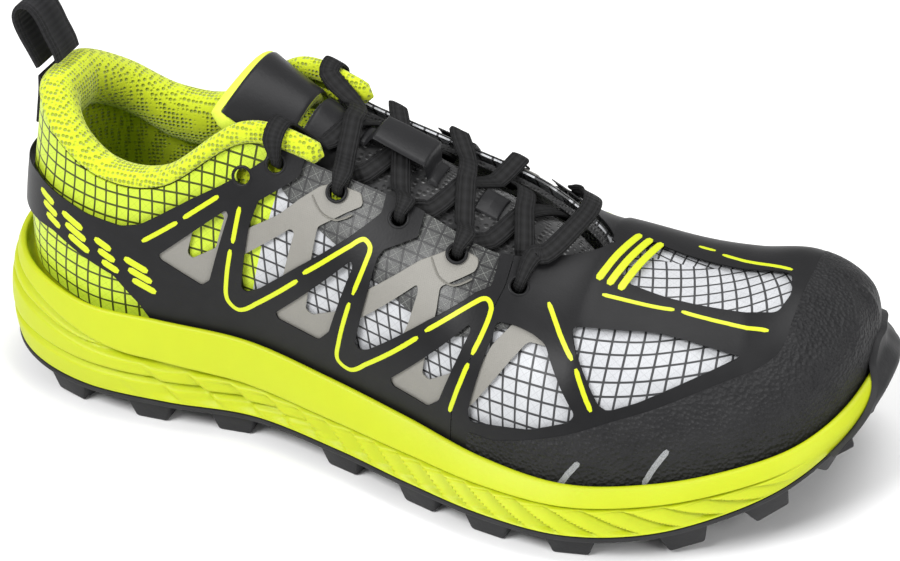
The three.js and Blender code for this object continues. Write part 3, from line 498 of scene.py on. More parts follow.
def spacer_mesh(name, yarn, painted_hole_shade, scale, roughness=0.8):
    finish = Finish(name, roughness, Sheen_Weight=0.25)
    holes = finish.use(KNIT, Vector=finish.spot, Scale=scale)
    shade = finish.use(MOTTLE, Vector=finish.spot, Scale=scale / 9)
    tone = finish.mix(shade, yarn, tuple(c * 0.8 for c in yarn))
    # Painted shade: the openings take a darker colour than the yarn, for the shade inside them.
    finish.paint(finish.mix(holes, tone, painted_hole_shade))
    return finish.emboss(finish.math("SUBTRACT", 1.0, holes), 0.0009, 0.8)


def ripstop(name, base, second, thread):
    """Thin cloth with a dark 4 mm grid and a fine weave between."""
    finish = Finish(name, 0.42, charted=True, Specular_IOR_Level=0.3)
    grid = finish.use(THREADS, Vector=finish.spot, Spacing=0.042, Width=0.0052)
    weave = finish.use(THREADS, Vector=finish.spot, Spacing=0.0045, Width=0.0016)
    cross = finish.use(THREADS, Vector=finish.turned(45), Spacing=0.0297, Width=0.0011)
    tone = finish.mix(finish.use(MOTTLE, Vector=finish.spot, Scale=14.0), base, second)
    tone = finish.mix(finish.math("MULTIPLY", weave, 0.16), tone, thread)
    tone = finish.mix(finish.math("MULTIPLY", cross, 0.2), tone, thread)
    finish.paint(finish.mix(finish.math("MULTIPLY", grid, 0.93), tone, thread))
    return finish.emboss(finish.math("ADD", grid, finish.math("MULTIPLY", weave, 0.2)), 0.00035, 0.7)


def eyestay_cloth():
    """Black laminated cloth with light specks and fine crossed threads."""
    finish = Finish("eyestay_laminate", 0.4, charted=True)
    cross = finish.use(THREADS, Vector=finish.turned(45), Spacing=0.0297, Width=0.0012)
    grid = finish.use(THREADS, Vector=finish.spot, Spacing=0.042, Width=0.004)
    specks = stepped(finish.tree, finish.use(MOTTLE, Vector=finish.spot, Scale=260.0), 0.56, 0.7)
    tone = finish.mix(finish.math("MULTIPLY", specks, 0.5), (0.030, 0.031, 0.030), (0.30, 0.31, 0.29))
    tone = finish.mix(finish.math("MULTIPLY", cross, 0.5), tone, (0.26, 0.27, 0.25))
    finish.paint(finish.mix(grid, tone, (0.008, 0.008, 0.009)))
    return finish.emboss(finish.math("ADD", grid, cross), 0.0003, 0.6)


def ribbed_tape(name, base, shade, count, along, roughness=0.7):
    """Woven tape: ribs along its length crossed by fine picks, with painted shade in the low parts between
    them.
    """
    finish = Finish(name, roughness, charted=True, Specular_IOR_Level=SOFT_GLOSS)
    axes = parts_of(finish.tree, finish.spot)
    rows = finish.use(RIBS, Place=axes[1], Count=count)
    picks = finish.use(RIBS, Place=axes[0], Count=along)
    height = finish.math("ADD", rows, finish.math("MULTIPLY", picks, 0.5))
    # Painted shade: the colour darkens to the shade colour where the ribs and picks are low.
    finish.paint(finish.mix(finish.math("MINIMUM", height, 1.0), shade, base))
    return finish.emboss(height, 0.0006, 0.85)


def strap_cloth():
    finish = Finish("strap_webbing", 0.55, charted=True)
    weave = finish.use(THREADS, Vector=finish.spot, Spacing=0.006, Width=0.003)
    shade = finish.use(MOTTLE, Vector=finish.spot, Scale=30.0)
    tone = finish.mix(shade, (0.215, 0.207, 0.186), (0.19, 0.183, 0.165))
    finish.paint(finish.mix(finish.math("MULTIPLY", weave, 0.12), tone, (0.2, 0.195, 0.17)))
    return finish.emboss(weave, 0.0001, 0.5)


STUDIO_WHITE = plain_finish("studio_white", (0.86, 0.86, 0.86), (0.88, 0.88, 0.88), 0.7, 60.0, 0.0001)
FOAM = plain_finish(
    "midsole_eva", LIME_FOAM, (0.42, 0.48, 0.0), 0.55, 900.0, 0.0001,
    Subsurface_Weight=0.08, Subsurface_Scale=0.004,
)
RUBBER = plain_finish(
    "outsole_compound", (0.014, 0.014, 0.015), (0.036, 0.036, 0.037), 0.55, 700.0, 0.0002,
    Specular_IOR_Level=SOFT_GLOSS,
)
FILM_BLACK = plain_finish(
    "film_satin_black", (0.0075, 0.0075, 0.008), (0.012, 0.012, 0.013), 0.42, 1400.0, 0.00006,
    Specular_IOR_Level=SOFT_GLOSS,
)
SHIELD_FILM = plain_finish(
    "shield_satin_black", (0.010, 0.010, 0.011), (0.017, 0.017, 0.018), 0.36, 900.0, 0.00008,
    Specular_IOR_Level=SOFT_GLOSS,
)
LIME_PRINT = plain_finish("lime_print", LIME_INK, (0.51, 0.58, 0.0), 0.45, 1400.0, 0.00005)
BINDING_TAPE = plain_finish("binding_knit", (0.66, 0.76, 0.07), (0.60, 0.71, 0.05), 0.75, 1500.0, 0.0002)
BOARD_FIBRE = plain_finish("lasting_fibre", (0.5, 0.47, 0.4), (0.42, 0.39, 0.33), 0.85, 900.0, 0.0002)
STIFFENER_SHEET = plain_finish("stiffener_sheet", (0.62, 0.6, 0.55), (0.55, 0.53, 0.48), 0.6, 600.0, 0.0001)
AGLET_PLASTIC = plain_finish(
    "aglet_plastic", (0.012, 0.012, 0.013), (0.02, 0.02, 0.021), 0.22, 300.0, 0.00003,
)
RAND_RUBBER = pebbled_rubber()
# The third value of each spacer mesh is the painted shade in its openings.
MESH_LIME = spacer_mesh("spacer_mesh_lime", LIME_YARN, (0.27, 0.34, 0.0), 700.0)
MESH_BLACK = spacer_mesh("spacer_mesh_black", (0.018, 0.018, 0.019), (0.003, 0.003, 0.003), 520.0)
INSOLE_CLOTH = spacer_mesh("insole_fabric", (0.20, 0.36, 0.02), (0.12, 0.22, 0.01), 1500.0)
LINING_CLOTH = spacer_mesh("lining_black", (0.012, 0.012, 0.013), (0.004, 0.004, 0.004), 800.0)
RIPSTOP_LIME = ripstop("ripstop_lime", (0.60, 0.76, 0.05), (0.52, 0.68, 0.03), (0.010, 0.012, 0.004))
RIPSTOP_WHITE = ripstop("ripstop_white", (0.60, 0.61, 0.63), (0.47, 0.48, 0.50), (0.012, 0.012, 0.013))
EYESTAY_FILM = eyestay_cloth()
STRAP_GREY = strap_cloth()
# The second colour of each tape is painted shade for the low parts between its ribs.
LACE_BRAID = ribbed_tape("lace_braid", (0.020, 0.020, 0.021), (0.006, 0.006, 0.006), 14.0, 4.5)
WEBBING = ribbed_tape("loop_webbing", (0.030, 0.030, 0.032), (0.008, 0.008, 0.009), 16.0, 6.0)
STITCHING = ribbed_tape("stitch_thread", (0.30, 0.29, 0.26), (0.14, 0.135, 0.12), 3.0, 12.0)


# ---- Layers of the upper --------------------------------------------------------------------
SKIN_COLUMNS = 300
SKIN_ROWS = 34


def side_and_station(s):
    return (LATERAL, 2 * TOE_END * s) if s <= 0.5 else (MEDIAL, 2 * TOE_END * (1 - s))


def skin_chart(s, t):
    """Cloth coordinates in units of 100 mm: along the shoe, and up round its side."""
    side, u = side_and_station(s)
    x = upper_point(side, u, 0.5).x
    rise = 0.0
    last = upper_point(side, u, 0)
    for i in range(1, 7):
        point = upper_point(side, u, t * i / 6)
        rise += (point - last).length
        last = point
    return x / 100, rise / 100


def make_skin():
    def place(s, t):
        side, u = side_and_station(s)
        return upper_point(side, u, t)

    bm = mapped_grid(SKIN_COLUMNS, SKIN_ROWS, place, skin_chart)
    lift = bm.verts.layers.float_vector.new("lift")
    spot = bm.verts.layers.float_vector.new("spot")
    bm.verts.ensure_lookup_table()
    for i, vert in enumerate(bm.verts):
        column, row = i % (SKIN_COLUMNS + 1), i // (SKIN_COLUMNS + 1)
        side, u = side_and_station(column / SKIN_COLUMNS)
        vert[spot] = Vector((u, row / SKIN_ROWS, side))
    tidy(bm, 2e-6)
    bm.normal_update()
    for vert in bm.verts:
        vert[lift] = vert.normal.copy()
    return bm


def upper_layer(name, heights, material, keep):
    """A closed layer of the upper between two heights, where keep says so of (station, height, side)."""
    low, high = heights
    bm = SKIN.copy()
    lift = bm.verts.layers.float_vector["lift"]
    spot = bm.verts.layers.float_vector["spot"]
    gone = [f for f in bm.faces if not all(keep(v[spot]) for v in f.verts)]
    bmesh.ops.delete(bm, geom=gone, context="FACES")
    shell = bmesh.ops.duplicate(bm, geom=bm.verts[:] + bm.edges[:] + bm.faces[:])
    inner = [g for g in shell["geom"] if isinstance(g, bmesh.types.BMVert)]
    inner_set = set(inner)
    for vert in bm.verts:
        vert.co = vert.co + vert[lift] * (low if vert in inner_set else high) * MM
    bmesh.ops.reverse_faces(bm, faces=[g for g in shell["geom"] if isinstance(g, bmesh.types.BMFace)])
    rims = [e for e in bm.edges if e.is_boundary]
    bmesh.ops.bridge_loops(bm, edges=rims)
    tidy(bm, 1e-7)
    return new_piece(name, bm, material)


FILM_REAR = [
    (-20, 60), (20, 59.5), (28, 59.3), (38, 55.5), (51, 50.8), (59, 42), (64, 34), (66, -10), (164, -10),
    (166.5, 36), (172.5, 58), (176, 69), (176, 110), (136, 110), (136, 83.3), (128.5, 77.2), (121.5, 72.2),
    (112.4, 65.7), (99.6, 55.4), (95, 53.2), (93.6, 54.5), (96.1, 74.2), (98.6, 83), (110, 90.5), (112, 110),
    (99.3, 110), (99.3, 94.5), (93, 90), (85.6, 85.2),
    (77, 80), (67.4, 73.8), (60.5, 69.5), (54, 67.8), (42, 69),
    (21, 74.6), (-20, 76),
]
FILM_NOTCH = [
    (148.5, 110), (148.1, 78.6), (138.9, 75), (137.6, 72.8), (136.1, 62.9), (132.9, 46.6), (134.5, 44.9),
    (137.2, 45.7), (156.2, 59.7), (168.6, 67.7), (172.5, 69), (172.5, 110),
]
WINDOWS_REAR = [
    [(66.2, 60.2), (88.5, 78.8), (89.5, 77.6), (83, 54.6), (80.3, 52.4), (66.9, 58.8)],
    [(105, 48.5), (129.8, 71), (130.6, 69.5), (123.8, 47.6), (120, 43.6), (106, 46.5)],
    [(145, 38.5), (169, 60.9), (169.8, 59.4), (162, 37.2), (158, 33.6), (146, 36.2)],
]
WINDOW_MIDDLE = [
    (176.4, 61.7), (181.7, 60.9), (187.2, 59.5), (191.8, 57.8), (204.4, 43), (203, 40.7), (191.1, 36.3),
    (172.8, 34), (171.8, 36.8), (176, 58.2),
]
WINDOW_FRONT = [(198, 61.5), (200, 62.3), (246, 56.2), (220.9, 46.1), (213.2, 44.1), (210.5, 45.4)]
WINDOW_CREST = [(208, 12), (252, 9.5), (254.5, 0), (252.5, -8.5), (208, -12), (205, -9)]
RAND_LINE = [
    (171.5, 30.5), (180, 30), (191, 33.2), (204, 37.6),
    (213, 41), (225, 44.4), (240, 50.2), (251, 54), (257, 58),
    (258.5, 80),
]
RAND_OUTLINE = [(171.5, -10), *RAND_LINE, (300, 80), (300, -10)]
STRAPS = {
    "rear": [(62.5, 60.5), (87, 83), (92, 87), (95, 81.5), (92.5, 76), (86, 52), (80, 48.5), (64, 56.5)],
    "middle": [
        (91.5, 63.5), (94.6, 65.6), (109.4, 76.5), (110.8, 75.6),
        (108.1, 62.4), (103, 44.5), (121.5, 41), (126.5, 47),
        (129, 56), (117.8, 51.4), (115.6, 52.7), (116.4, 58),
        (117, 70), (117.6, 78), (125.3, 82.2), (129.8, 84.2),
        (128.5, 86.8), (120.3, 88.8), (116.2, 88), (110.9, 84.5), (104.8, 79.4), (96.1, 74.4), (93.2, 71.8),
    ],
    "front": [
        (129.5, 50.5), (134.7, 55.3), (150.9, 67.7), (151.6, 66),
        (150.2, 57.9), (143, 36), (160.5, 31.5), (165, 38),
        (167.5, 48), (158.1, 42.3), (155.8, 43.7), (156.8, 51.4),
        (158.2, 61.8), (157.8, 68), (167, 72), (166.8, 74.2),
        (160, 76.8), (150, 73), (136.6, 64.3), (129.5, 59.5),
    ],
    "toe": [
        (182, 62), (190.4, 60), (192.5, 57), (186.3, 57.5),
        (181.7, 51.8), (172.8, 39), (169.5, 37), (176.4, 56.1),
    ],
}
STRAP_SLOT = [(77.3, 69.6), (86.5, 77.5), (88, 76.4), (85.2, 65.8), (77.1, 60.6), (75.5, 62.2)]
EYESTAY = [
    (104, 110), (104, 87), (112, 80), (125, 73), (138, 66),
    (150, 60), (162, 56), (174, 58), (188, 62), (196.5, 66),
    (196.5, 110),
]
CLOTH_SEAM = [(-20, -10), (74, -10), (96, 50), (104, 88), (104, 110), (-20, 110)]
EYELETS = [(5.4, 0.94), (6.14, 0.93), (6.88, 0.93), (7.55, 0.92), (8.2, 0.86)]
SPARE_EYELET = (5.03, 0.87)


# Heights of each layer's two faces over the upper's surface.
LINING, CLOTH, STAY = (-3.8, -2.2), (-0.6, 0.0), (0.3, 0.6)
STRAP, FILM, RAND = (0.9, 1.3), (1.6, 2.0), (0.3, 2.1)
BEHIND_VAMP = [(-20, -10), (164.2, -10), (166.7, 36), (172.7, 58), (176.2, 69), (176.2, 112), (-20, 112)]


def eyelet_punch():
    bm = bmesh.new()
    for side in (LATERAL, MEDIAL):
        for u, v in [*EYELETS, SPARE_EYELET]:
            point, normal, _ = place_on(side, u, v)
            turn = normal.to_track_quat("Z", "Y").to_matrix().to_4x4()
            bmesh.ops.create_cone(
                bm, cap_ends=True, segments=20, radius1=2.5 * MM, radius2=2.5 * MM, depth=14 * MM,
                matrix=Matrix.Translation(metres(point)) @ turn,
            )
    return tool_object("eyelet_punch", bm)


def make_upper():
    punch = eyelet_punch()
    rear = outline_tool("rear_outline", [FILM_REAR], 1.5)
    rear_holes = outline_tool("rear_holes", [FILM_NOTCH, *WINDOWS_REAR], 1.5)
    film = upper_layer("film_rear", FILM, FILM_BLACK, lambda q: q.x < 8.9)
    carve(film, ("INTERSECT", rear), ("DIFFERENCE", rear_holes), ("DIFFERENCE", punch))
    settle(film, "shoe", "black_film", "heel_band", "film_lateral", "film_medial")

    behind = outline_tool("behind_vamp", [BEHIND_VAMP], 0)
    rand_cut = outline_tool("rand_outline", [RAND_OUTLINE], 2)
    front_holes = outline_tool("front_holes", [WINDOW_MIDDLE, WINDOW_FRONT], 2)
    crest_hole = outline_tool("crest_hole", [WINDOW_CREST], 2, down=True)
    vamp = upper_layer("film_front", FILM, FILM_BLACK, lambda q: q.x > 6.5)
    carve(
        vamp, ("DIFFERENCE", behind), ("DIFFERENCE", rand_cut), ("DIFFERENCE", front_holes),
        ("DIFFERENCE", crest_hole), ("DIFFERENCE", punch),
    )
    settle(vamp, "shoe", "black_film", "vamp_film")

    rand = upper_layer("toe_rand_cover", RAND, RAND_RUBBER, lambda q: q.x > 7)
    carve(rand, ("INTERSECT", outline_tool("rand_keep", [RAND_OUTLINE], 2)))
    settle(rand, "shoe", "toe_rubber", "toe_rand")

    seam = outline_tool("cloth_seam", [CLOTH_SEAM], 0)
    quarter = upper_layer("quarter_cloth", CLOTH, RIPSTOP_LIME, lambda q: q.x < 7)
    carve(quarter, ("INTERSECT", seam), ("DIFFERENCE", punch))
    settle(quarter, "shoe", "lime_ripstop", "quarter_lateral", "quarter_medial")
    front_cloth = upper_layer("vamp_cloth", CLOTH, RIPSTOP_WHITE, lambda q: q.x > 3)
    carve(front_cloth, ("DIFFERENCE", seam), ("DIFFERENCE", punch))
    settle(front_cloth, "shoe", "white_ripstop", "vamp_textile")

    stay_cut = outline_tool("eyestay_outline", [EYESTAY], 2)
    stay = upper_layer("eyestay_film", STAY, EYESTAY_FILM, lambda q: 4.6 < q.x < 9.7 and q.y > 0.3)
    carve(stay, ("INTERSECT", stay_cut), ("DIFFERENCE", punch))
    settle(stay, "shoe", "eyestay", "eyestay_lateral", "eyestay_medial")

    slot_cut = outline_tool("strap_slot", [STRAP_SLOT], 1.2)
    for spot, outline in STRAPS.items():
        cut = outline_tool("strap_" + spot, [outline], 1.2)
        band = upper_layer("straps_" + spot, STRAP, STRAP_GREY, lambda q: 2.5 < q.x < 9.5)
        steps = [("INTERSECT", cut), ("DIFFERENCE", punch)]
        if spot == "rear":
            steps.append(("DIFFERENCE", slot_cut))
        carve(band, *steps)
        settle(band, "shoe", "grey_strap", f"strap_{spot}_lateral", f"strap_{spot}_medial")

    ankle = upper_layer("ankle_lining", LINING, MESH_LIME, lambda q: q.x < 5.6)
    settle(ankle, "shoe", "lime_mesh", "lining_lateral", "lining_medial")
    inside = upper_layer("vamp_lining", LINING, LINING_CLOTH, lambda q: q.x > 5.5)
    carve(inside, ("DIFFERENCE", punch))
    settle(inside, "shoe", "lining_black", "lining_vamp")
    meshes = [o for o in bpy.data.objects if o.type == "MESH" and not o.get("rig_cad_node")]
    for tool in [o for o in meshes if not o.data.materials]:
        bpy.data.objects.remove(tool)


# ---- Collar ----------------------------------------------------------------------------------
# Roll sections, inward and up from the top edge: full at the ankle, slim along the throat.
ROLL_FULL = [
    (-0.2, 1), (0.7, 3.2), (4, 4.8), (8.4, 4), (11.2, 0),
    (11.6, -6), (9, -12), (5, -14), (2.8, -10), (2.1, -1),
]
ROLL_SLIM = [
    (-1, 0.8), (-2.4, 3), (-1.6, 6), (0.4, 7.4), (2.4, 6.6),
    (3.4, 4.2), (3, 2), (2.4, 1), (1.6, 0.6), (0.6, 0.6),
]
ROLL_END = 5.9


def ring_point(ring, t):
    """A closed smooth ring through its points at share t."""
    n = len(ring)
    u = (t % 1.0) * n
    i = int(u)
    a, b, c, d = (Vector(ring[(i + k) % n]) for k in (-1, 0, 1, 2))
    w = u - i
    return b + 0.5 * w * ((c - a) + w * ((2 * a - 5 * b + 4 * c - d) + w * (3 * (b - c) + d - a)))


def roll_point(side, u, t):
    edge = through(topline[side], u)
    out = outward(feather, side, u)
    slim = smoothstep(u, 3.5, 4.9)
    ring = [Vector(a).lerp(Vector(b), slim) for a, b in zip(ROLL_FULL, ROLL_SLIM)]
    inward, up = ring_point(ring, t)
    point = edge - out * inward
    point.z = edge.z + up
    return point


def make_collar():
    def place(s, t):
        side = LATERAL if s <= 0.5 else MEDIAL
        u = ROLL_END * abs(1 - 2 * s)
        close = smoothstep(u, ROLL_END - 0.12, ROLL_END)
        point = roll_point(side, u, -t)
        middle = roll_point(side, u, 0.25).lerp(roll_point(side, u, 0.75), 0.5)
        return point.lerp(middle, 0.9 * close * close)

    bm = mapped_grid(150, 44, place, lambda s, t: (s * 3.6, t * 0.5))
    seal(bm, 1e-6)
    roll = new_piece("collar_padding", bm, MESH_LIME, 60)
    settle(roll, "shoe", "lime_mesh", "collar_roll")


# ---- Sole --------------------------------------------------------------------------------------
RIM_INNER, RIM_OUTER, FLOOR_DROP = 2.8, 4.6, 3.6
SHEET, LUG_DEPTH, LUG_ROOT = 2, 10, 0.9
# Shares of the foam's profile at its floor's edge, the rim's inner and outer edge, and the lower edge.
FLOOR_END, RIM_START, RIM_END, WALL_END = 0.16, 0.2, 0.23, 0.75


def flute(x, share):
    """Depth of the moulded flutes in the foam wall; share is 0 at the rim and 1 at the lower edge."""
    line = lerp(0.34, 0.5, smoothstep(x, 0, 60)) + 0.1 * math.sin((x - 60) / 34) * smoothstep(x, 50, 90)
    below = smoothstep(share, line, line + 0.1) * (1 - smoothstep(share, 0.9, 1.0))
    body = smoothstep(x, 45, 80) * (1 - smoothstep(x, 245, 270))
    phase = (x - 30 * share) / lerp(15.0, 11.0, smoothstep(x, 60, 200))
    saw = phase - math.floor(phase)
    facet = saw if saw < 0.82 else (1 - saw) / 0.18 * 0.82
    crease = math.exp(-(((share - line) / 0.03) ** 2))
    sweep_line = 0.16 + 0.4 * smoothstep(x, 0, 75)
    heel = math.exp(-(((share - sweep_line) / 0.03) ** 2)) * (1 - smoothstep(x, 70, 100))
    long_line = 0.72 + 0.12 * smoothstep(x, 40, 110)
    third = math.exp(-(((share - long_line) / 0.03) ** 2)) * (1 - smoothstep(x, 90, 130))
    crease *= 1 - smoothstep(x, 245, 270)
    return -2.6 * below * facet * body - 2.3 * crease - 2.3 * heel - 2.0 * third


def foam_point(side, u, t):
    """Up over the foam from its inside floor (0), over the rim and down to its lower edge and middle (1)."""
    edge = through(feather[side], u)
    low = through(foam_edge[side], u)
    out = outward(feather, side, u)
    inner = edge + out * RIM_INNER
    rim = edge + out * RIM_OUTER
    middle_floor = (edge + through(feather[3 - side], u)) / 2
    middle_low = (low + through(foam_edge[3 - side], u)) / 2
    floor_z = edge.z - FLOOR_DROP
    bulge = lerp(3, 1.2, smoothstep(u, 0, 3))
    if t < FLOOR_END:
        point = middle_floor.lerp(inner, t / FLOOR_END)
        point.z = floor_z
    elif t < RIM_START:
        point = inner.copy()
        point.z = lerp(floor_z, edge.z - 0.2, (t - FLOOR_END) / (RIM_START - FLOOR_END))
    elif t < RIM_END:
        share = (t - RIM_START) / (RIM_END - RIM_START)
        point = inner.lerp(rim, share)
        point.z = edge.z + 0.35 * math.sin(math.pi * share) - 0.2
    elif t < WALL_END:
        share = (t - RIM_END) / (WALL_END - RIM_END)
        point = rim.lerp(low, share)
        swell = math.sin(math.pi * share) ** 0.8 * bulge * 1.05
        point += out * (swell + flute(point.x, share) * (1 - smoothstep(share, 0.97, 1)))
        point.z -= 0.2 * (1 - share)
    else:
        share = (t - WALL_END) / (1 - WALL_END)
        point = low.lerp(middle_low, share)
        point.z = low.z
    return point


def around(s):
    """Side and station for a loop that starts at the heel, on the lateral side."""
    return (LATERAL, 2 * TOE_END * s) if s <= 0.5 else (MEDIAL, 2 * TOE_END * (1 - s))


def make_midsole():
    def share(t):
        # Most rows are spent on the visible wall.
        knots = [0, 0.05, 0.08, 0.13, 0.95, 1]
        spots = [0, FLOOR_END, RIM_START, RIM_END, WALL_END, 1]
        for a, b, p, q in zip(knots, knots[1:], spots, spots[1:]):
            if t <= b:
                return lerp(p, q, (t - a) / (b - a))
        return 1.0

    bm = mapped_grid(720, 90, lambda s, t: foam_point(*around(s), share(t)), lambda s, t: (s * 6, t))
    tidy(bm)
    bmesh.ops.recalc_face_normals(bm, faces=bm.faces)
    foam = new_piece("foam_midsole", bm, FOAM, 50)
    settle(foam, "shoe", "midsole_foam", "midsole")


def sheet_point(side, u, t):
    """The rubber sheet under the foam, as a closed section from its top middle round its edge."""
    low = through(foam_edge[side], u)
    out = outward(feather, side, u)
    middle = (low + through(foam_edge[3 - side], u)) / 2
    if t < 0.35:
        point = middle.lerp(low, t / 0.35)
        point.z = low.z - 0.3
    elif t < 0.65:
        share = (t - 0.35) / 0.3
        point = low + out * (0.35 * math.sin(math.pi * share))
        point.z = low.z - 0.3 - (SHEET - 0.3) * share
    else:
        point = low.lerp(middle, (t - 0.65) / 0.35)
        point.z = low.z - SHEET
    return point


def slope_at(u):
    ahead = through(foam_edge[LATERAL], min(u + 0.1, TOE_END))
    behind = through(foam_edge[LATERAL], max(u - 0.1, 0))
    return math.atan2(ahead.z - behind.z, max(ahead.x - behind.x, 1))


def lug_block(bm, spot, heading, pitch, length, width):
    """One moulded lug: a tapered block with rounded edges."""
    height = LUG_DEPTH - LUG_SET_IN - max(0, LUG_DEPTH - spot.z)
    block = bmesh.ops.create_cube(bm, size=1)["verts"]
    turn = Matrix.Rotation(heading, 4, "Z") @ Matrix.Rotation(-pitch, 4, "Y")
    for vert in block:
        taper = 0.72 if vert.co.z < 0 else 1.08
        rise = (vert.co.z - 0.5) * (height + LUG_ROOT) + LUG_ROOT
        vert.co = Vector((vert.co.x * length * taper, vert.co.y * width * taper, rise))
    edges = {e for v in block for e in v.link_edges}
    bmesh.ops.bevel(
        bm, geom=list(edges), offset=0.9, segments=2, profile=0.5, affect="EDGES", material=-1,
        clamp_overlap=True,
    )
    return turn


# Length and width of the lugs at the edge, in the middle and at the tip of the toe.
EDGE_LUG, MIDDLE_LUG, FOREFOOT_LUG, TIP_LUG = (15, 12.5), (12, 10), (12, 15), (16, 9)
EDGE_LUG_INSET, MIDDLE_LUG_TURN, LUG_SET_IN = 7.6, 0.45, 1.2
EDGE_LUGS = [0.85, 2.6, 3.75, 4.72, 5.97, 7.08, 8.02, 9.1, 10.5, 11.65, 12.8]
MIDDLE_LUGS = [1.9, 3.2, 4.3, 6.5, 7.55, 8.55, 9.75, 11.05, 12.25]


def lug_places():
    for side in (LATERAL, MEDIAL):
        for u in EDGE_LUGS:
            out = outward(foam_edge, side, u)
            spot = through(foam_edge[side], u) - out * EDGE_LUG_INSET
            heading = math.atan2(out.x, -out.y) + (math.pi if side == MEDIAL else 0)
            yield spot, heading, slope_at(u), *EDGE_LUG
        for u in MIDDLE_LUGS:
            edge = through(foam_edge[side], u)
            middle = edge.lerp(through(foam_edge[3 - side], u), 0.5)
            spot = middle.lerp(edge, 0.3 if u > 6 else 0.27)
            turn = MIDDLE_LUG_TURN if side == LATERAL else -MIDDLE_LUG_TURN
            yield spot, turn, slope_at(u), *(FOREFOOT_LUG if 6 < u < 12 else MIDDLE_LUG)
    tip = through(foam_edge[LATERAL], TOE_END)
    yield Vector((tip.x - 5, tip.y, tip.z - 3)), math.pi / 2, 0, *TIP_LUG


def make_outsole():
    bm = mapped_grid(280, 24, lambda s, t: sheet_point(*around(s), t), lambda s, t: (s * 6, t))
    tidy(bm)
    bmesh.ops.recalc_face_normals(bm, faces=bm.faces)
    for spot, heading, pitch, length, width in lug_places():
        one = bmesh.new()
        turn = lug_block(one, spot, heading, pitch, length, width)
        place = Matrix.Translation(spot - Vector((0, 0, LUG_SET_IN)))
        bmesh.ops.transform(one, matrix=place @ turn, verts=one.verts)
        for vert in one.verts:
            vert.co = metres(vert.co)
            vert.co.z = max(vert.co.z, 0.0)
        pour(bm, one)
    rubber = new_piece("outsole_rubber", bm, RUBBER, 40)
    settle(rubber, "shoe", "outsole_rubber", "outsole")
    make_toe_wrap()


def wrap_share(side, u):
    return smoothstep(u, 12.9, 13.95) if side == LATERAL else smoothstep(u, 11.9, 13.2)


def make_toe_wrap():
    def path_point(side, u, share):
        edge = through(feather[side], u)
        out = outward(feather, side, u)
        stops = [foam_point(side, u, lerp(WALL_END, RIM_END, k)) for k in (0, 0.3, 0.65, 1)]
        stops = [p + out * 0.4 for p in stops]
        stops.append(edge + out * 2.4 + Vector((0, 0, 3)))
        stops.append(edge + out * 2.1 + Vector((0, 0, 8)))
        stops = [2 * stops[0] - stops[1], *stops, 2 * stops[-1] - stops[-2]]
        return through(stops, share * (len(stops) - 3.001)), out

    def place(s, t):
        # From the lateral front corner round the toe tip to the medial side.
        u = lerp(12.6, 2 * TOE_END - 11.8, s)
        side, u = (LATERAL, u) if u <= TOE_END else (MEDIAL, 2 * TOE_END - u)
        reach = max(wrap_share(side, u), 0.08)
        climb = 1 - abs(2 * t - 1)
        point, out = path_point(side, u, min(climb, 1) * reach)
        depth = 2.0 if t < 0.5 else 0.0
        notch = 0.5 - 0.5 * math.cos(2 * math.pi * (s * 7.0))
        return point + out * (depth - 0.35 * notch * (t < 0.5) * smoothstep(climb, 0.1, 0.5))

    bm = mapped_grid(120, 60, place)
    seal(bm, 2e-5)
    settle(new_piece("toe_wrap", bm, RUBBER, 50), "shoe", "outsole_rubber")


INSOLE_INSET, INSOLE_ROLL = 6, 6


def make_insole():
    def inset(side, u, depth):
        return through(feather[side], u) - outward(feather, side, u) * depth

    def place(s, t):
        side, u = around(s)
        rim = inset(side, u, INSOLE_INSET)
        flat = inset(side, u, INSOLE_INSET + INSOLE_ROLL)
        middle = flat.lerp(inset(3 - side, u, INSOLE_INSET + INSOLE_ROLL), 0.5)
        stops = [(middle, 3), (flat, 3), (rim, 4.2), (rim, -0.7), (middle, -0.7)]
        k = min(int(t * 4), 3)
        (a, low), (b, high) = stops[k], stops[k + 1]
        w = t * 4 - k
        point = a.lerp(b, w)
        point.z = rim.z + lerp(low, high, w)
        return point

    bm = mapped_grid(200, 24, place, lambda s, t: (s * 6, t))
    tidy(bm)
    bmesh.ops.recalc_face_normals(bm, faces=bm.faces)
    settle(new_piece("insole_cover", bm, INSOLE_CLOTH, 50), "insole", "insole_fabric", "insole")


# ---- Tongue ------------------------------------------------------------------------------------
# Stations up the tongue: crown x and z, half width, drop at the edges, how far the edges lie back.
TONGUE = [
    (196, 61.5, 9, 2, 0), (182, 70, 20, 9, 0), (165, 76.5, 24.5, 13, 0), (148, 83, 25, 13.5, 0),
    (131, 89.5, 24.5, 13.5, 0), (117, 95, 19, 13, 0.5), (104, 103, 19, 12, 4), (85, 112.5, 21.5, 8, 4),
]
TONGUE_ROWS = [Vector(r) for r in TONGUE]
TONGUE_ROWS = [2 * TONGUE_ROWS[0] - TONGUE_ROWS[1], *TONGUE_ROWS, 2 * TONGUE_ROWS[-1] - TONGUE_ROWS[-2]]
FLAP_START = 5.95
BINDING_START = 6.2


def tongue_point(s, w, lift=0.0):
    """A place on the tongue: s up its length, w from -1 to 1 across it, lift above its face."""
    def on(a, b):
        x, z, half, drop, back = through(TONGUE_ROWS, max(0, min(a, 7)))
        return Vector((x - back * b * b, half * b, z - drop * b * b))

    along = on(s + 0.02, w) - on(s - 0.02, w)
    side = on(s, w + 0.02) - on(s, w - 0.02)
    return on(s, w) + side.cross(along).normalized() * lift


